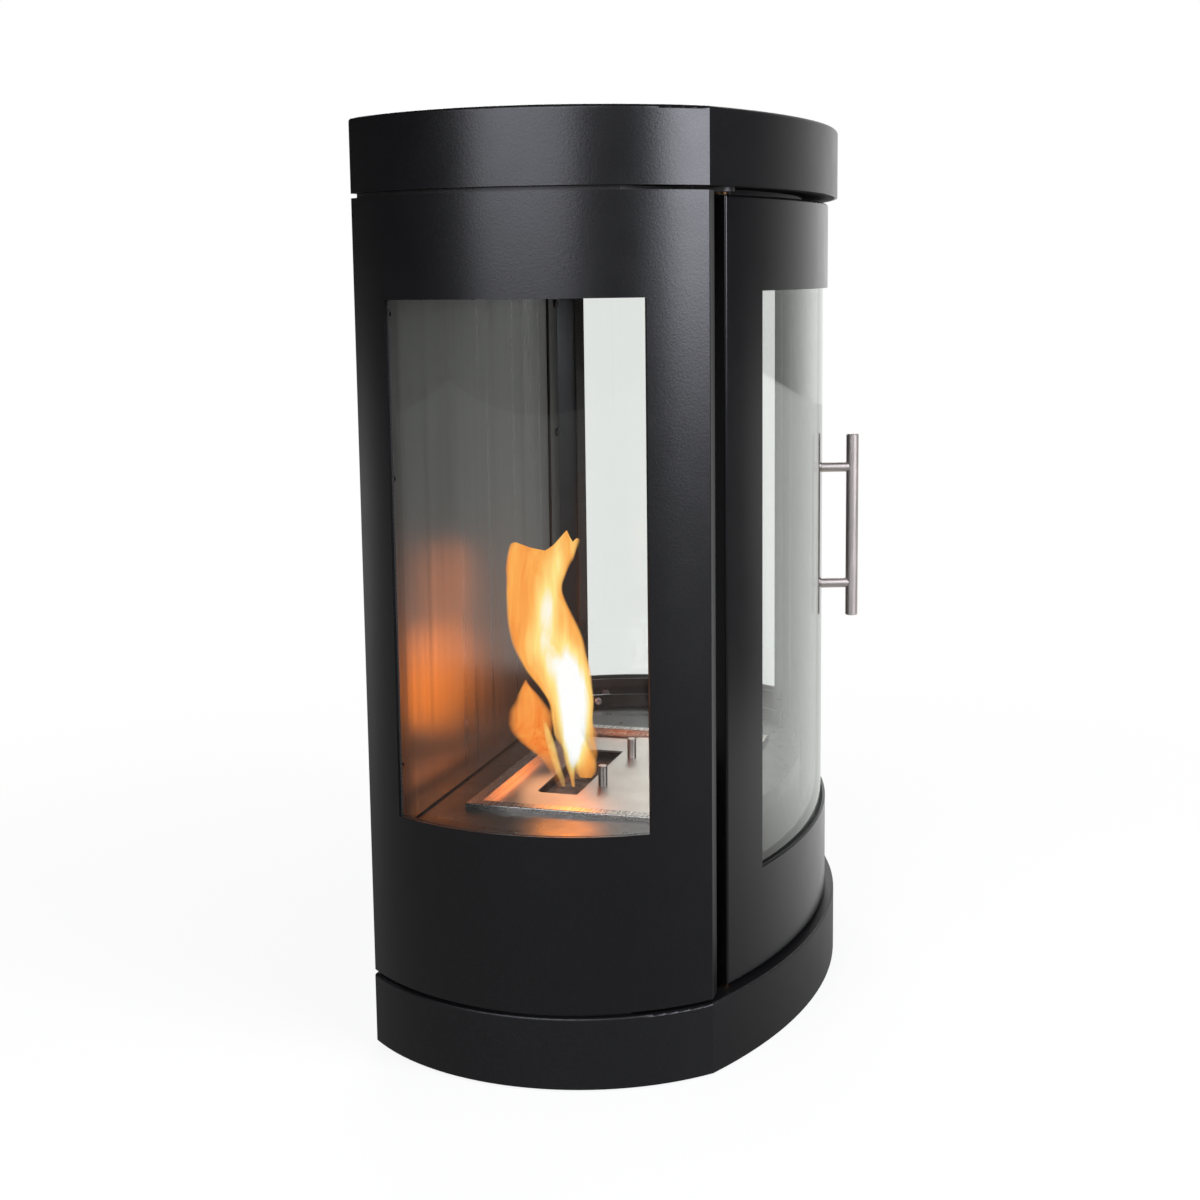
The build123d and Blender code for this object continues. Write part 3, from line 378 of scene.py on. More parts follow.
def ceramic_fibre(name):
    """Needled ceramic fleece after many fires: matt grey fibres with scorched brown patches."""
    material, tree = blank_material(name)
    scorch = add(tree, "ShaderNodeTexNoise", values={"Scale": 1.0, "Detail": 3.0},
                 links={"Vector": millimetres(tree, 25)}).outputs["Fac"]
    fibre = add(tree, "ShaderNodeTexNoise", values={"Scale": 1.0, "Detail": 4.0},
                links={"Vector": millimetres(tree, 0.9)}).outputs["Fac"]
    return opaque(material, (scorch, (0.35, shade("#4a3830")), (0.6, shade("#85736a"))), 0.95, (fibre, 0.6, 0.3))


def float_glass(name, glass, face_on, falloff):
    """Bent ceramic glass, 4 mm: clear with a faint grey tint, and bright where it is seen at a slant.

    A clear face reflects 0.04 face on with a falloff of 5; a heat-reflecting coating reflects more, and at less of
    a slant.
    """
    material, tree = blank_material(name)
    slant = add(tree, "ShaderNodeLayerWeight", values={"Blend": 0.5})
    steep = add(tree, "ShaderNodeMath", {"operation": "POWER"}, {1: falloff}, {0: slant.outputs["Facing"]})
    mirror = add(tree, "ShaderNodeMath", {"operation": "MULTIPLY_ADD"}, {1: 1 - face_on, 2: face_on},
                 {0: steep.outputs[0]})
    clear = add(tree, "ShaderNodeBsdfTransparent", values={"Color": (*glass.tint, 1.0)})
    gloss = add(tree, "ShaderNodeBsdfGlossy", values={"Roughness": 0.0, "Color": shade("#e9ebe8")})
    both = add(tree, "ShaderNodeMixShader", links={0: mirror.outputs[0], 1: clear.outputs[0], 2: gloss.outputs[0]})
    return surfaced(material, both)


def flame_light(name, fire):
    """Burning alcohol vapour: a film of light, clear at its edges and white where it is hottest, with no body."""
    material, tree = blank_material(name)
    heat = add(tree, "ShaderNodeAttribute", {"attribute_name": "fire_heat"})
    cover = add(tree, "ShaderNodeAttribute", {"attribute_name": "fire_cover"})
    # streaks about 8 mm wide and 80 mm long, drawn in the object's own millimetres
    streak = add(tree, "ShaderNodeTexNoise", values={"Scale": 1.0, "Detail": 2.0, "Distortion": 0.7},
                 links={"Vector": millimetres(tree, (8, 8, 80))})
    veil = add(tree, "ShaderNodeMapRange", links={"Value": streak.outputs["Fac"]},
               values={"From Min": 0.3, "From Max": 0.7, "To Min": -0.1, "To Max": 0.1})
    warm = add(tree, "ShaderNodeMath", {"operation": "ADD"}, links={0: heat.outputs["Fac"], 1: veil.outputs[0]})
    thinned = add(tree, "ShaderNodeMath", {"operation": "ADD", "use_clamp": True},
                  links={0: cover.outputs["Fac"], 1: veil.outputs[0]})
    dense = add(tree, "ShaderNodeMath", {"operation": "MINIMUM"},
                links={0: thinned.outputs[0], 1: cover.outputs["Fac"]})
    colour = add(tree, "ShaderNodeValToRGB", links={"Fac": warm.outputs[0]},
                 stops=[(0.0, tinted(fire.outer)), (0.3, tinted(fire.middle)), (0.62, tinted(fire.inner)),
                        (0.9, tinted(fire.core))])
    clear = add(tree, "ShaderNodeBsdfTransparent")
    # a little over 1, for what the pane in front takes away
    light = add(tree, "ShaderNodeEmission", values={"Strength": 1.14}, links={"Color": colour.outputs["Color"]})
    film = add(tree, "ShaderNodeMixShader", links={0: dense.outputs[0], 1: clear.outputs[0], 2: light.outputs[0]})
    material.cycles.emission_sampling = "NONE"
    return surfaced(material, film)


# ---------------------------------------------------------------- geometry node pieces
FIBRE_RADIUS = 0.14 * MM  # of a bundle of loose fibres: one alone is too fine to show
FOOT_RADIUS = 15 * MM
RIB_SHARE = 0.8  # part of a foot's height that its ribs cover


def node_group(name, inputs):
    """An empty geometry tree with named inputs, a place and a material, and what its input node gives."""
    tree = bpy.data.node_groups.new(name, "GeometryNodeTree")
    for label, kind, default in inputs:
        tree.interface.new_socket(label, in_out="INPUT", socket_type=kind).default_value = default
    for label, kind in (("Place", "NodeSocketVector"), ("Material", "NodeSocketMaterial")):
        tree.interface.new_socket(label, in_out="INPUT", socket_type=kind)
    tree.interface.new_socket("Geometry", in_out="OUTPUT", socket_type="NodeSocketGeometry")
    return tree, add(tree, "NodeGroupInput").outputs


def ended(tree, given, copies):
    """The tree, ended: its copies are moved to their place, made real and given their material."""
    moved = add(tree, "GeometryNodeTransform", links={"Geometry": copies, "Translation": given["Place"]})
    plain = add(tree, "GeometryNodeRealizeInstances", links={0: moved.outputs[0]})
    painted = add(tree, "GeometryNodeSetMaterial", links={0: plain.outputs[0], "Material": given["Material"]})
    add(tree, "NodeGroupOutput", links={0: painted.outputs[0]})
    return tree


def baked_piece(name, tree, values):
    """Runs a geometry tree on an empty mesh and keeps its result as a plain mesh."""
    piece = bpy.data.objects.new(name, bpy.data.meshes.new(name))
    bpy.context.scene.collection.objects.link(piece)
    modifier = piece.modifiers.new("build", "NODES")
    modifier.node_group = tree
    for item in tree.interface.items_tree:
        if item.in_out == "INPUT" and item.name in values:
            modifier[item.identifier] = values[item.name]
    graph = bpy.context.evaluated_depsgraph_get()
    mesh = bpy.data.meshes.new_from_object(piece.evaluated_get(graph))
    piece.modifiers.clear()
    mesh.name = name
    piece.data = mesh
    if not len(mesh.polygons):
        raise RuntimeError(name + " came out empty")
    return piece


def fibre_tree():
    """Bent fibres scattered over a flat rectangle."""
    tree, given = node_group("loose_fibres", [
        ("Length", "NodeSocketFloat", 0.17), ("Width", "NodeSocketFloat", 0.07), ("Density", "NodeSocketFloat", 1e5),
        ("Fibre Length", "NodeSocketFloat", 0.005), ("Fibre Radius", "NodeSocketFloat", 0.00012),
        ("Seed", "NodeSocketInt", 7)])
    pad = add(tree, "GeometryNodeMeshGrid", values={"Vertices X": 2, "Vertices Y": 2},
              links={"Size X": given["Length"], "Size Y": given["Width"]})
    spots = add(tree, "GeometryNodeDistributePointsOnFaces",
                links={"Mesh": pad.outputs["Mesh"], "Density": given["Density"], "Seed": given["Seed"]})
    ends = [add(tree, "ShaderNodeVectorMath", {"operation": "SCALE"}, {0: way}, {"Scale": given["Fibre Length"]})
            for way in ((0.0, 0.0, -0.1), (0.45, 0.1, 0.45), (0.9, -0.1, 0.05))]
    strand = add(tree, "GeometryNodeCurveQuadraticBezier", values={"Resolution": 5},
                 links={"Start": ends[0].outputs[0], "Middle": ends[1].outputs[0], "End": ends[2].outputs[0]})
    section = add(tree, "GeometryNodeCurvePrimitiveCircle", values={"Resolution": 4},
                  links={"Radius": given["Fibre Radius"]})
    fibre = add(tree, "GeometryNodeCurveToMesh", values={"Fill Caps": True},
                links={"Curve": strand.outputs[0], "Profile Curve": section.outputs[0]})
    # each fibre leans by up to 0.35 rad, turns any way and is half to 1.2 times its length
    turn = add(tree, "FunctionNodeRandomValue", {"data_type": "FLOAT_VECTOR"},
               {0: (-0.35, -0.35, 0.0), 1: (0.35, 0.35, math.tau)}, {"Seed": given["Seed"]})
    spread = add(tree, "FunctionNodeRandomValue", {"data_type": "FLOAT"}, {2: 0.5, 3: 1.2}, {"Seed": given["Seed"]})
    copies = add(tree, "GeometryNodeInstanceOnPoints",
                 links={"Points": spots.outputs["Points"], "Instance": fibre.outputs[0], "Rotation": turn.outputs[0],
                        "Scale": spread.outputs[1]})
    return ended(tree, given, copies.outputs[0])


def rib_tree():
    """Upright ribs round each foot, with the feet on the corners of a rectangle."""
    tree, given = node_group("foot_ribs", [
        ("Spacing X", "NodeSocketFloat", 0.3), ("Spacing Y", "NodeSocketFloat", 0.2),
        ("Foot Radius", "NodeSocketFloat", 0.015), ("Ribs", "NodeSocketInt", 28),
        ("Rib Radius", "NodeSocketFloat", 0.0008), ("Rib Height", "NodeSocketFloat", 0.003)])
    corners = add(tree, "GeometryNodeMeshGrid", values={"Vertices X": 2, "Vertices Y": 2},
                  links={"Size X": given["Spacing X"], "Size Y": given["Spacing Y"]})
    ring = add(tree, "GeometryNodeMeshCircle", links={"Vertices": given["Ribs"], "Radius": given["Foot Radius"]})
    rib = add(tree, "GeometryNodeMeshCylinder", values={"Vertices": 8},
              links={"Radius": given["Rib Radius"], "Depth": given["Rib Height"]})
    one = add(tree, "GeometryNodeInstanceOnPoints", links={"Points": ring.outputs[0], "Instance": rib.outputs["Mesh"]})
    four = add(tree, "GeometryNodeInstanceOnPoints",
               links={"Points": corners.outputs["Mesh"], "Instance": one.outputs[0]})
    return ended(tree, given, four.outputs[0])


# ---------------------------------------------------------------- flame
# Each tongue is a list of sections from its foot to its tip, in millimetres: height, place along X and Y,
# half width along Y and half length along X. They stand side by side along the slot.
TONGUES = {
    "flame_body": [
        (152.5, -31, 42, 6, 4), (155, -29, 42.5, 8, 5), (160, -22, 43.5, 10, 8), (168, -12, 47, 14, 12),
        (177, -3, 55, 17, 16), (189, 0, 57.5, 17.5, 20), (202, 0, 58.5, 18.5, 22), (214, 0, 62, 22, 22),
        (228, 0, 68.5, 27.5, 22), (246, 0, 75, 30.5, 20), (265, 0, 80.5, 29.8, 18), (285, 0, 86, 25.2, 16),
        (298, 0, 87, 24.2, 15), (312, 0, 84.3, 27, 13), (324, 0, 81, 29.5, 10), (332, 0, 78, 29, 5)],
    "flame_near": [
        (152.5, -52, 41, 1.6, 2), (160, -52, 42, 2.4, 3), (169, -51, 43.5, 5, 5), (182, -42, 46, 8.5, 11),
        (200, -35, 48, 11, 16), (218, -34, 53, 15, 15), (236, -33, 59, 16, 12), (252, -32, 65, 12, 8),
        (263, -31, 69, 6, 4), (270, -31, 71, 1, 1)],
    "flame_far": [
        (153, 55, 57, 3, 3), (160, 54, 58, 5, 4), (169, 52, 61, 8, 6), (184, 42, 67, 12, 13),
        (204, 37, 70, 15, 17), (222, 36, 77, 20, 16), (240, 36, 84, 23, 14), (258, 36, 91, 21, 12),
        (272, 36, 96, 14, 8), (282, 36, 98, 6, 4), (288, 36, 99, 1, 1)],
    "flame_lobe": [
        (152.5, -26, 39.5, 6, 3), (157, -27, 39, 9, 4), (164, -27, 40, 10.5, 5), (171, -26, 42, 10, 5),
        (178, -24, 44, 8, 4), (186, -22, 46, 4, 2), (192, -21, 47, 1, 1)],
    "flame_side_lick": [
        (152.5, -53, 50.5, 3.5, 3), (158, -53, 53, 4.5, 3), (165, -52, 56.5, 5.5, 3), (171, -44, 63, 8, 4),
        (177, -32, 75, 13.5, 5), (184, -20, 84.5, 18.5, 7), (191, -12, 87.5, 20.5, 9), (198, -12, 87.5, 19.5, 9),
        (205, -12, 88, 14, 8), (212, -12, 89.5, 9, 6), (218, -12, 91, 4, 3), (223, -12, 91.5, 0.8, 1)],
    "flame_strand": [
        (152.5, -53, 48.5, 2, 2), (158, -53, 50, 3, 2), (165, -52, 53, 3.5, 2.5), (172, -46, 57.5, 4, 3),
        (180, -38, 63, 4, 3), (188, -30, 68.5, 3, 3), (196, -24, 73, 1, 1)],
}
# How far a tongue leans along the slot: millimetres towards the wall and upwards for one millimetre along X.
LEAN_Y, LEAN_Z = 0.32, -0.2
# Places of extra heat: along Y, height, reach along Y and reach upwards, in millimetres, and gain.
HOT_SPOTS = [
    (56, 206, 12, 26, 1.15), (62, 236, 10, 22, 0.5), (76, 236, 7, 18, 0.3), (75, 284, 6, 28, 0.42),
    (66, 314, 5, 18, 0.4), (56, 330, 6, 10, 0.12), (56, 178, 9, 16, 0.7), (80, 268, 10, 26, 0.32),
    (88, 248, 8, 14, 0.22), (93, 198, 10, 14, 0.12), (57, 162, 5, 9, 0.4)]
# Lift of the body's upper edge along Y, in millimetres: two points beside a long sagging shoulder.
CREST = [(45, -5.0), (48, 0.5), (52, 3.0), (55, -0.5), (57, 2.5), (60, 9.0), (63, 5.0), (68, -0.5), (73, -5.5),
         (78, -8.0), (90, -6.0), (102, -2.0), (107, -4.0), (110, -9.0)]
CREST_FOOT = 300  # height at which the lift begins, in millimetres
# Warmth without a hot spot, greatest cover, cover at the foot and at the tip, and softness of each tongue's edges.
DENSITY = {
    "flame_body": (0.24, 0.95, 0.05, 0.85, 0.26),
    "flame_near": (0.26, 0.95, 0.4, 0.05, 1.0),
    "flame_far": (0.2, 0.8, 0.15, 0.3, 0.6),
    "flame_lobe": (0.22, 0.85, 0.6, 0.0, 0.9),
    "flame_side_lick": (0.08, 0.95, 0.06, 0.3, 1.0),
    "flame_strand": (0.42, 0.48, 0.35, 0.0, 1.0),
}
RING = 56  # points round a tongue
LEVELS = 110  # sections up a tongue
FOOT_FADE, TIP_FADE = 0.43, 0.12  # parts of a tongue's sections over which its cover comes and goes


def smooth_sections(rows, count):
    """Sections spaced evenly up a smooth curve through the given ones."""
    rows = np.array(rows, float)
    padded = np.vstack([2 * rows[0] - rows[1], rows, 2 * rows[-1] - rows[-2]])
    out = []
    for t in np.linspace(0, len(rows) - 1 - 1e-9, count):
        i, f = int(t), t - int(t)
        p0, p1, p2, p3 = padded[i:i + 4]
        out.append(0.5 * (2 * p1 + (p2 - p0) * f + (2 * p0 - 5 * p1 + 4 * p2 - p3) * f * f
                          + (3 * p1 - p0 - 3 * p2 + p3) * f ** 3))
    return out


def ease(value, low, high):
    """Smooth step from 0 at low to 1 at high."""
    t = min(1.0, max(0.0, (value - low) / (high - low)))
    return t * t * (3 - 2 * t)


def warmth(y, z):
    """Heat that the hot spots give at a place, both in millimetres."""
    return sum(gain * math.exp(-((y - y0) / wide) ** 2 - ((z - z0) / tall) ** 2)
               for y0, z0, wide, tall, gain in HOT_SPOTS)


def tongue(name, rows, material):
    """A closed lens-shaped shell lofted up a tongue of flame, with its heat and cover on its vertices."""
    base, dense, foot, tip, soft = DENSITY[name]
    points, heat, cover = [], [], []
    for level, (z, x, y, wide, long) in enumerate(smooth_sections(rows, LEVELS)):
        up = level / (LEVELS - 1)
        ends = (foot + (1 - foot) * ease(up, 0.0, FOOT_FADE) ** 2) * (tip + (1 - tip) * ease(1 - up, 0.0, TIP_FADE))
        for k in range(RING):
            phi = math.tau * k / RING
            # the edges and the veil sway by up to 1 and 3 mm, in waves about 18 and 40 mm long
            frayed = noise.noise(Vector((0.8 * math.cos(phi), z / 18, 7 + len(name)))) * min(1.0, wide / 8)
            sway = noise.noise(Vector((math.cos(phi), z / 40, len(name)))) * 3.0 * min(1.0, wide / 10)
            across = (max(wide, 0.4) + frayed) * math.cos(phi)
            along = sway - max(long, 0.3) * math.sin(phi)
            lift = 0.0
            if name == "flame_body":
                lift = ease(z, CREST_FOOT, rows[-1][0]) * float(np.interp(y + across, *zip(*CREST)))
            points.append(Vector((x + along, y + across + LEAN_Y * along, z + lift + LEAN_Z * along)) * MM)
            rim = ease(math.sin(phi) ** 2, 0.0, soft)
            # the heat runs through the whole curtain, so it is the same along the lean
            hot = warmth(y + across - LEAN_Y * x, z + lift - LEAN_Z * x)
            heat.append(base + hot * (0.8 + 0.2 * rim))
            cover.append(dense * rim * ends)
    faces = []
    for level in range(LEVELS - 1):
        for k in range(RING):
            a, b = level * RING + k, level * RING + (k + 1) % RING
            faces.append((a, b, b + RING, a + RING))
    # strips from front to back close both ends and follow the crest
    top = RING * (LEVELS - 1)
    for k in range(RING // 2):
        strip = tuple(dict.fromkeys((k, k + 1, RING - k - 1, (RING - k) % RING)))
        faces.append(tuple(reversed(strip)))
        faces.append(tuple(top + corner for corner in strip))
    mesh = bpy.data.meshes.new(name)
    mesh.from_pydata(points, [], faces)
    for label, values in (("fire_heat", heat), ("fire_cover", cover)):
        mesh.attributes.new(label, "FLOAT", "POINT").data.foreach_set("value", values)
    mesh.materials.append(material)
    mesh.shade_smooth()
    piece = bpy.data.objects.new(name, mesh)
    bpy.context.scene.collection.objects.link(piece)
    piece.visible_shadow = False
    piece.visible_glossy = False  # the oval lamps stand for the flame in reflections
    return piece


# ---------------------------------------------------------------- operators
class FIREPLACE_OT_outer_steel(bpy.types.Operator):
    """Powder coat on the shells, panels and door"""
    bl_idname = "fireplace.outer_steel"
    bl_label = "Finish outer steel"

    def execute(self, context):
        coat = settings("coat")
        paint(powder_coat("black_powder_coat", coat), "lid_shell", "side_panel_left", "side_panel_right")
        paint(powder_coat("base_powder_coat", coat, extra=0.12), "base_shell")
        paint(powder_coat("door_powder_coat", coat, extra=-0.07), "door_frame")
        paint(powder_coat("back_powder_coat", coat), "back_panel")
        return {"FINISHED"}


class FIREPLACE_OT_inner_steel(bpy.types.Operator):
    """Satin paint, mill and galvanised sheet inside the body"""
    bl_idname = "fireplace.inner_steel"
    bl_label = "Finish inner steel"

    def execute(self, context):
        liner = settings("liner")
        paint(satin_liner("liner_satin", liner), "back_liner")
        paint(satin_liner("floor_satin", liner, bright=0.9), "floor_pan")
        paint(satin_black_sheet("stoved_sheet", "#1d1c1b", 0.42), "bottom_plate", "top_plate", "back_post_left",
              "back_post_right", "front_post_left", "front_post_right", "front_header", "front_apron",
              "side_glass_channels_left", "side_glass_channels_right", "door_glass_channels")
        # painted shade: the lid ring is near black, darker than the same stoved sheet elsewhere, so the joint under the
        # lid looks shaded
        paint(satin_black_sheet("joint_painted_shade_sheet", "#050505", 0.75), "lid_ring")
        paint(mill_sheet("baffle_sheet"), "heat_baffle")
        paint(galvanised_sheet("galvanised_sheet"), "base_floor_plate", "floor_brackets")
        return {"FINISHED"}


class FIREPLACE_OT_panes(bpy.types.Operator):
    """Curved panes and their tapes"""
    bl_idname = "fireplace.panes"
    bl_label = "Finish panes"

    def execute(self, context):
        glass = settings("glass")
        paint(float_glass("side_glass", glass, face_on=0.04, falloff=5.0), "side_glass_left", "side_glass_right")
        paint(float_glass("door_glass", glass, face_on=0.07, falloff=3.6), "door_glass")
        paint(woven_tape("woven_tape"), "side_glass_tape_left", "side_glass_tape_right", "door_glass_tape")
        return {"FINISHED"}


class FIREPLACE_OT_handle(bpy.types.Operator):
    """Brushed bar handle"""
    bl_idname = "fireplace.handle"
    bl_label = "Finish handle"

    def execute(self, context):
        steel = settings("burner")
        # painted highlight: the handle is the burner's stainless steel made half as light again, so it looks as bright
        # as a well-lit bar
        paint(brushed_stainless("handle_bar_steel_painted_highlight", steel, along=2, roughness=0.5, bright=1.5), "handle_bar")
        paint(brushed_stainless("handle_post_steel", steel, along=1, roughness=0.45, bright=1.5),
              "handle_post_lower", "handle_post_upper")
        return {"FINISHED"}


class FIREPLACE_OT_burner(bpy.types.Operator):
    """Stainless burner, its regulator and its fuel box"""
    bl_idname = "fireplace.burner"
    bl_label = "Finish burner"

    def execute(self, context):
        steel = settings("burner")
        paint(brushed_stainless("burner_steel", steel, along=0, roughness=0.24), "burner_frame", "slider_rails")
        paint(brushed_stainless("slot_plate_steel", steel, along=0, roughness=0.34), "burner_plate")
        paint(brushed_stainless("slider_steel", steel, along=0, roughness=0.38), "slider_plate")
        paint(brushed_stainless("post_steel", steel, along=2, roughness=0.38), "slider_post_left",
              "slider_post_right")
        paint(heat_tinted_steel("fuel_box_steel"), "fuel_box")
        return {"FINISHED"}


class FIREPLACE_OT_hardware(bpy.types.Operator):
    """Screws, nuts, pins, bushes and the door catch"""
    bl_idname = "fireplace.hardware"
    bl_label = "Finish hardware"

    def execute(self, context):
        paint(plated_screw("zinc_screw", "#b9bcc0", 1.0, 0.32), "base_screws", "floor_pan_screws",
              "baffle_spacers", "lid_screws", "side_channel_nuts_left", "side_channel_nuts_right", "door_channel_nuts",
              "striker_plate", "handle_screws")
        paint(plated_screw("black_screw", "#1c1c1d", 0.3, 0.42), "back_panel_screws", "back_post_screws")
        paint(turned_pin("turned_pin", "#bdbdbf"), "hinge_pin_bottom", "hinge_pin_top")
        paint(turned_pin("sintered_bronze", "#3f2f1e"), "hinge_bush_bottom", "hinge_bush_top")
        paint(moulded_abs("moulded_abs", "#161616", 0.7), "magnet_catch")
        paint(moulded_abs("ferrite", "#2a2a2c", 1.1), "catch_magnet")
        return {"FINISHED"}


class FIREPLACE_OT_fleece(bpy.types.Operator):
    """Ceramic fleece in the fuel box, with its loose fibres"""
    bl_idname = "fireplace.fleece"
    bl_label = "Make fleece"

    def execute(self, context):
        fleece = settings("fleece")
        finish = ceramic_fibre("ceramic_fibre")
        paint(finish, "ceramic_fleece")
        low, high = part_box("ceramic_fleece")
        margin = fleece.length
        fibres = baked_piece("fleece_fibres", fibre_tree(), {
            "Length": high[0] - low[0] - 2 * margin, "Width": high[1] - low[1] - 2 * margin,
            "Place": ((low[0] + high[0]) / 2, (low[1] + high[1]) / 2, high[2]), "Density": 1 / fleece.spacing ** 2,
            "Fibre Length": fleece.length, "Fibre Radius": FIBRE_RADIUS, "Seed": fleece.seed, "Material": finish})
        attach(fibres, "body")
        return {"FINISHED"}


class FIREPLACE_OT_feet(bpy.types.Operator):
    """Rubber feet with grip ribs"""
    bl_idname = "fireplace.feet"
    bl_label = "Make feet"

    def execute(self, context):
        feet = settings("feet")
        finish = moulded_rubber("moulded_rubber")
        paint(finish, "foot_pads")
        low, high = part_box("foot_pads")
        height = high[2] - low[2]
        ribs = baked_piece("foot_ribs", rib_tree(), {
            "Spacing X": high[0] - low[0] - 2 * FOOT_RADIUS, "Spacing Y": high[1] - low[1] - 2 * FOOT_RADIUS,
            "Place": ((low[0] + high[0]) / 2, (low[1] + high[1]) / 2, (low[2] + high[2]) / 2),
            "Foot Radius": FOOT_RADIUS, "Ribs": feet.ribs, "Rib Radius": feet.radius,
            "Rib Height": height * RIB_SHARE, "Material": finish})
        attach(ribs, "body")
        return {"FINISHED"}


class FIREPLACE_OT_flame(bpy.types.Operator):
    """The flame over the open part of the slot"""
    bl_idname = "fireplace.flame"
    bl_label = "Make flame"

    def execute(self, context):
        light = flame_light("flame_light", settings("fire"))
        for name, rows in TONGUES.items():
            piece = tongue(name, rows, light)
            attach(piece, "body")
        return {"FINISHED"}


# ---------------------------------------------------------------- studio
FLOOR_HALF = 6.0  # half the floor's side, in metres
CAMERA_PLACE = (-1.3041, -0.3560, 0.5365)  # metres
CAMERA_ANGLES = (-73.40, 8.079, -0.724)  # turn from +Y, tilt down and roll, in degrees
CAMERA_SHIFT = (-0.0002, -0.0602)  # sideways and upwards, in picture widths
SOFTBOX_AIM = (0, 0, 0.4)  # what the softboxes face, in metres
# Each softbox's name, plan bearing from +X in degrees, height, distance and size in metres, power and colour.
SOFTBOXES = [
    ("camera_softbox", 174, 1.17, 1.9, (1.6, 1.3), 32, "#f2f3ff"),
    ("door_softbox", 248, 1.1, 1.9, (1.0, 1.3), 44, "#f2f3ff"),
    ("back_softbox", 20, 1.7, 2.0, (1.2, 1.0), 22, "#ffffff"),
]
# Upright oval lamps in the flame: place, width and height in millimetres, the way each faces, its beam in degrees,
# its share of the glow and its colour.
FLAME_GLOWS = [
    ((42, 60, 208), (126, 88), (0, 1, 0), 180, 0.76, "#ff8427"),  # at the back wall, its lower part
    ((38, 76, 285), (80, 80), (0, 1, 0), 180, 0.18, "#ff8427"),  # at the back wall, its upper part
    ((-25, 55, 207), (54, 38), (-1, -0.35, -0.25), 100, 0.034, "#ff9240"),  # at the floor beside the burner
    ((0, 80, 174), (44, 30), (-1, -0.35, -0.2), 100, 0.007, "#ffb27c"),  # at the slot plate
    ((0, 56, 240), (90, 150), (0, -1, 0), 180, 0.15, "#ff8427"),  # at the door
    ((40, 70, 240), (50, 150), (1, 0, 0), 180, 0.15, "#ff8427"),  # at the far window
]


def pale_floor(name, studio):
    """Painted studio floor: pale and matt, lit up to white for the eye except in the object's shadow."""
    material, tree = blank_material(name)
    path = add(tree, "ShaderNodeLightPath")
    seen = add(tree, "ShaderNodeMath", {"operation": "MAXIMUM"},
               links={0: path.outputs["Is Camera Ray"], 1: path.outputs["Is Transmission Ray"]})
    place = add(tree, "ShaderNodeTexCoord")
    # the lift is full 1.2 m away from the object, so the floor runs into the white behind it
    away = add(tree, "ShaderNodeVectorMath", {"operation": "LENGTH"}, links={0: place.outputs["Object"]})
    near = add(tree, "ShaderNodeMapRange", {"interpolation_type": "SMOOTHSTEP"},
               {"From Min": 0.25, "From Max": 1.2, "To Min": 0.86, "To Max": 1.0}, {"Value": away.outputs["Value"]})
    lift = add(tree, "ShaderNodeMath", {"operation": "MULTIPLY"}, links={0: seen.outputs[0], 1: near.outputs[0]})
    matt = add(tree, "ShaderNodeBsdfDiffuse", values={"Color": (*studio.floor, 1.0)})
    # reflections of the floor are dark towards the camera's side of the studio and pale behind the object
    along = add(tree, "ShaderNodeSeparateXYZ", links={0: place.outputs["Object"]})
    behind = add(tree, "ShaderNodeMapRange", {"interpolation_type": "SMOOTHSTEP"},
                 {"From Min": -0.3, "From Max": 0.6, "To Min": 0.2, "To Max": 0.95}, {"Value": along.outputs[0]})
    # a wedge of floor in front of the door is dark too: 17 degrees to each side of a bearing of -77, fading out by
    # 34, and setting in from 0.6 to 1.2 m away
    bearing = add(tree, "ShaderNodeMath", {"operation": "ARCTAN2"}, links={0: along.outputs[1], 1: along.outputs[0]})
    turned = add(tree, "ShaderNodeMath", {"operation": "ADD"}, {1: math.radians(77)}, {0: bearing.outputs[0]})
    off = add(tree, "ShaderNodeMath", {"operation": "ABSOLUTE"}, links={0: turned.outputs[0]})
    aside = add(tree, "ShaderNodeMapRange", {"interpolation_type": "SMOOTHSTEP"},
                {"From Min": math.radians(17), "From Max": math.radians(34), "To Min": 0.1}, {"Value": off.outputs[0]})
    close = add(tree, "ShaderNodeMapRange", {"interpolation_type": "SMOOTHSTEP"}, {"From Min": -1.2, "From Max": -0.6},
                {"Value": along.outputs[1]})
    open_floor = add(tree, "ShaderNodeMath", {"operation": "MAXIMUM"}, links={0: aside.outputs[0], 1: close.outputs[0]})
    level = add(tree, "ShaderNodeMath", {"operation": "MULTIPLY"},
                links={0: behind.outputs[0], 1: open_floor.outputs[0]})
    mirrored = add(tree, "ShaderNodeEmission", links={"Strength": level.outputs[0]})
    glossy = add(tree, "ShaderNodeMixShader",
                 links={0: path.outputs["Is Glossy Ray"], 1: matt.outputs[0], 2: mirrored.outputs[0]})
    white = add(tree, "ShaderNodeEmission", values={"Strength": 1.0})
    both = add(tree, "ShaderNodeMixShader", links={0: lift.outputs[0], 1: glossy.outputs[0], 2: white.outputs[0]})
    return surfaced(material, both)


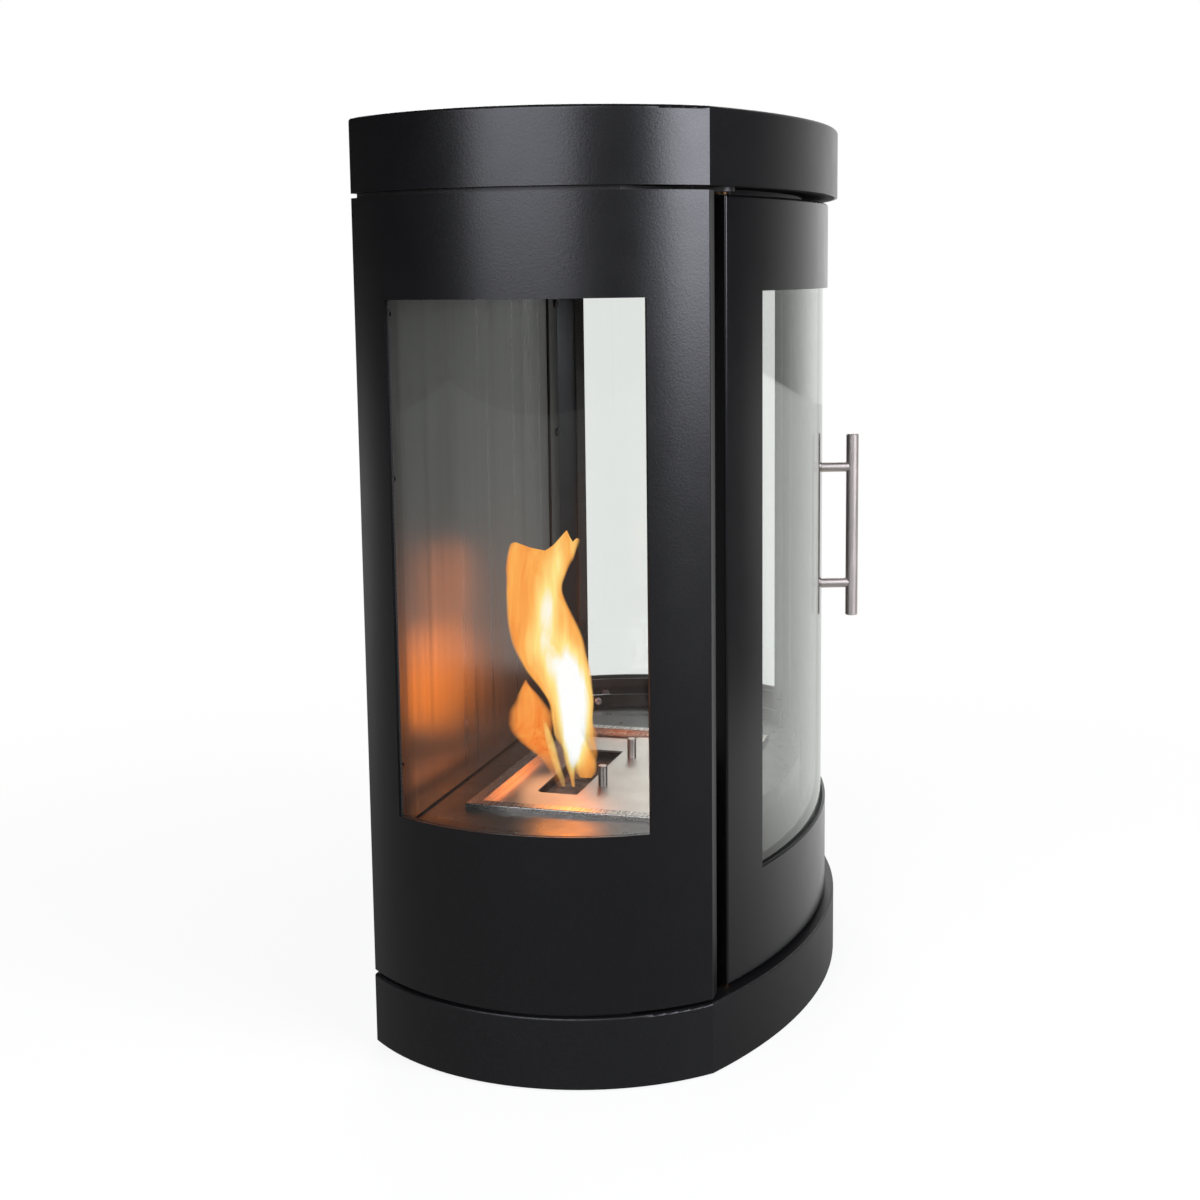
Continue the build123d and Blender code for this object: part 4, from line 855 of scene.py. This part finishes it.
def studio_world(name):
    """White behind the object, dim on the camera's side, and an even soft light on matt surfaces."""
    world = bpy.data.worlds.new(name)
    world.use_nodes = True
    tree = world.node_tree
    tree.nodes.clear()
    path = add(tree, "ShaderNodeLightPath")
    place = add(tree, "ShaderNodeTexCoord")
    way = add(tree, "ShaderNodeSeparateXYZ", links={0: place.outputs["Generated"]})
    ahead = add(tree, "ShaderNodeMapRange", values={"From Min": 0.25, "From Max": 1.0}, links={"Value": way.outputs[0]})
    steep = add(tree, "ShaderNodeMath", {"operation": "POWER"}, {1: 4.0}, {0: ahead.outputs[0]})
    # the studio is dark behind the back panel as well
    beside = add(tree, "ShaderNodeMapRange", {"interpolation_type": "SMOOTHSTEP"},
                 {"From Min": 0.15, "From Max": 0.5, "To Min": 1.15, "To Max": 0.05}, {"Value": way.outputs[1]})
    behind = add(tree, "ShaderNodeMath", {"operation": "MULTIPLY_ADD"}, {2: 0.02},
                 {0: steep.outputs[0], 1: beside.outputs[0]})
    seen = add(tree, "ShaderNodeMath", {"operation": "MAXIMUM"},
               links={0: path.outputs["Is Camera Ray"], 1: path.outputs["Is Transmission Ray"]})
    level = add(tree, "ShaderNodeMix", {"data_type": "FLOAT"}, {"A": 0.35},
                {"Factor": path.outputs["Is Glossy Ray"], "B": behind.outputs[0]})
    level = add(tree, "ShaderNodeMix", {"data_type": "FLOAT"}, {"B": 1.0},
                {"Factor": seen.outputs[0], "A": level.outputs[0]})
    light = add(tree, "ShaderNodeBackground", values={"Color": shade("#ffffff")}, links={"Strength": level.outputs[0]})
    add(tree, "ShaderNodeOutputWorld", links={"Surface": light.outputs[0]})
    return world


def area_lamp(name, shape, size, power, tint, place, way, beam=180):
    """An area lamp that the camera doesn't see, with the way that it faces and its beam in degrees."""
    lamp = bpy.data.lights.new(name, "AREA")
    lamp.shape = shape
    lamp.size, lamp.size_y = size
    lamp.spread = math.radians(beam)
    lamp.energy = power
    lamp.color = shade(tint)[:3]
    holder = bpy.data.objects.new(name, lamp)
    holder.location = place
    holder.rotation_euler = Vector(way).to_track_quat("-Z", "Y").to_euler()
    holder.visible_camera = False
    bpy.context.scene.collection.objects.link(holder)


def camera_pose():
    """Where the camera stands and how it is turned, as a matrix."""
    turn, tilt, roll = [math.radians(angle) for angle in CAMERA_ANGLES]
    ahead = Vector((-math.sin(turn) * math.cos(tilt), math.cos(turn) * math.cos(tilt), -math.sin(tilt)))
    right = ahead.cross(Vector((0, 0, 1))).normalized()
    up = right.cross(ahead)
    right, up = right * math.cos(roll) + up * math.sin(roll), up * math.cos(roll) - right * math.sin(roll)
    return Matrix.Translation(CAMERA_PLACE) @ Matrix((right, up, -ahead)).transposed().to_4x4()


class FIREPLACE_OT_studio(bpy.types.Operator):
    """Floor, world, lamps, glow of the flame and camera"""
    bl_idname = "fireplace.studio"
    bl_label = "Make studio"

    def execute(self, context):
        scene, studio = context.scene, settings("studio")
        corners = [(FLOOR_HALF * x, FLOOR_HALF * y, 0) for x, y in ((-1, -1), (1, -1), (1, 1), (-1, 1))]
        mesh = bpy.data.meshes.new("studio_floor")
        mesh.from_pydata(corners, [], [(0, 1, 2, 3)])
        mesh.materials.append(pale_floor("studio_floor", studio))
        floor = bpy.data.objects.new("studio_floor", mesh)
        scene.collection.objects.link(floor)
        scene.world = studio_world("studio_world")
        for name, bearing, height, distance, size, power, tint in SOFTBOXES:
            angle = math.radians(bearing)
            place = Vector((distance * math.cos(angle), distance * math.sin(angle), height))
            area_lamp(name, "RECTANGLE", size, power, tint, place, Vector(SOFTBOX_AIM) - place)
        for place, (width, height), way, beam, share, tint in FLAME_GLOWS:
            area_lamp("flame_glow", "ELLIPSE", (width * MM, height * MM), settings("fire").glow * share, tint,
                      Vector(place) * MM, way, beam)
        camera = bpy.data.cameras.new("camera")
        camera.lens = studio.lens
        camera.sensor_width = 36
        camera.shift_x, camera.shift_y = CAMERA_SHIFT
        camera.clip_end = 50
        holder = bpy.data.objects.new("camera", camera)
        scene.collection.objects.link(holder)
        holder.matrix_world = camera_pose()
        scene.camera = holder
        scene.view_settings.view_transform = "Standard"
        scene.cycles.transparent_max_bounces = 48
        return {"FINISHED"}


STEPS = (
    FIREPLACE_OT_outer_steel,
    FIREPLACE_OT_inner_steel,
    FIREPLACE_OT_panes,
    FIREPLACE_OT_handle,
    FIREPLACE_OT_burner,
    FIREPLACE_OT_hardware,
    FIREPLACE_OT_fleece,
    FIREPLACE_OT_feet,
    FIREPLACE_OT_flame,
    FIREPLACE_OT_studio,
)


class FIREPLACE_PT_panel(bpy.types.Panel):
    """Lists the steps and their settings"""
    bl_idname = "FIREPLACE_PT_panel"
    bl_label = "Fireplace"
    bl_space_type = "VIEW_3D"
    bl_region_type = "UI"
    bl_category = "Fireplace"

    def draw(self, context):
        for name, group in GROUPS.items():
            box = self.layout.box()
            box.label(text=group.__doc__)
            for key in group.__annotations__:
                box.prop(getattr(context.scene, "fireplace_" + name), key)
        for step in STEPS:
            self.layout.operator(step.bl_idname)


def register():
    """Adds the settings, steps and panel."""
    for item in (*GROUPS.values(), *STEPS, FIREPLACE_PT_panel):
        bpy.utils.register_class(item)
    for name, group in GROUPS.items():
        setattr(bpy.types.Scene, "fireplace_" + name, bpy.props.PointerProperty(type=group))


def unregister():
    """Takes them away again."""
    for name in GROUPS:
        delattr(bpy.types.Scene, "fireplace_" + name)
    for item in reversed((*GROUPS.values(), *STEPS, FIREPLACE_PT_panel)):
        bpy.utils.unregister_class(item)


def main():
    """Runs every step."""
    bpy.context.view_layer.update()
    register()
    for step in STEPS:
        group, call = step.bl_idname.split(".")
        getattr(getattr(bpy.ops, group), call)()


if __name__ == "__main__":
    main()
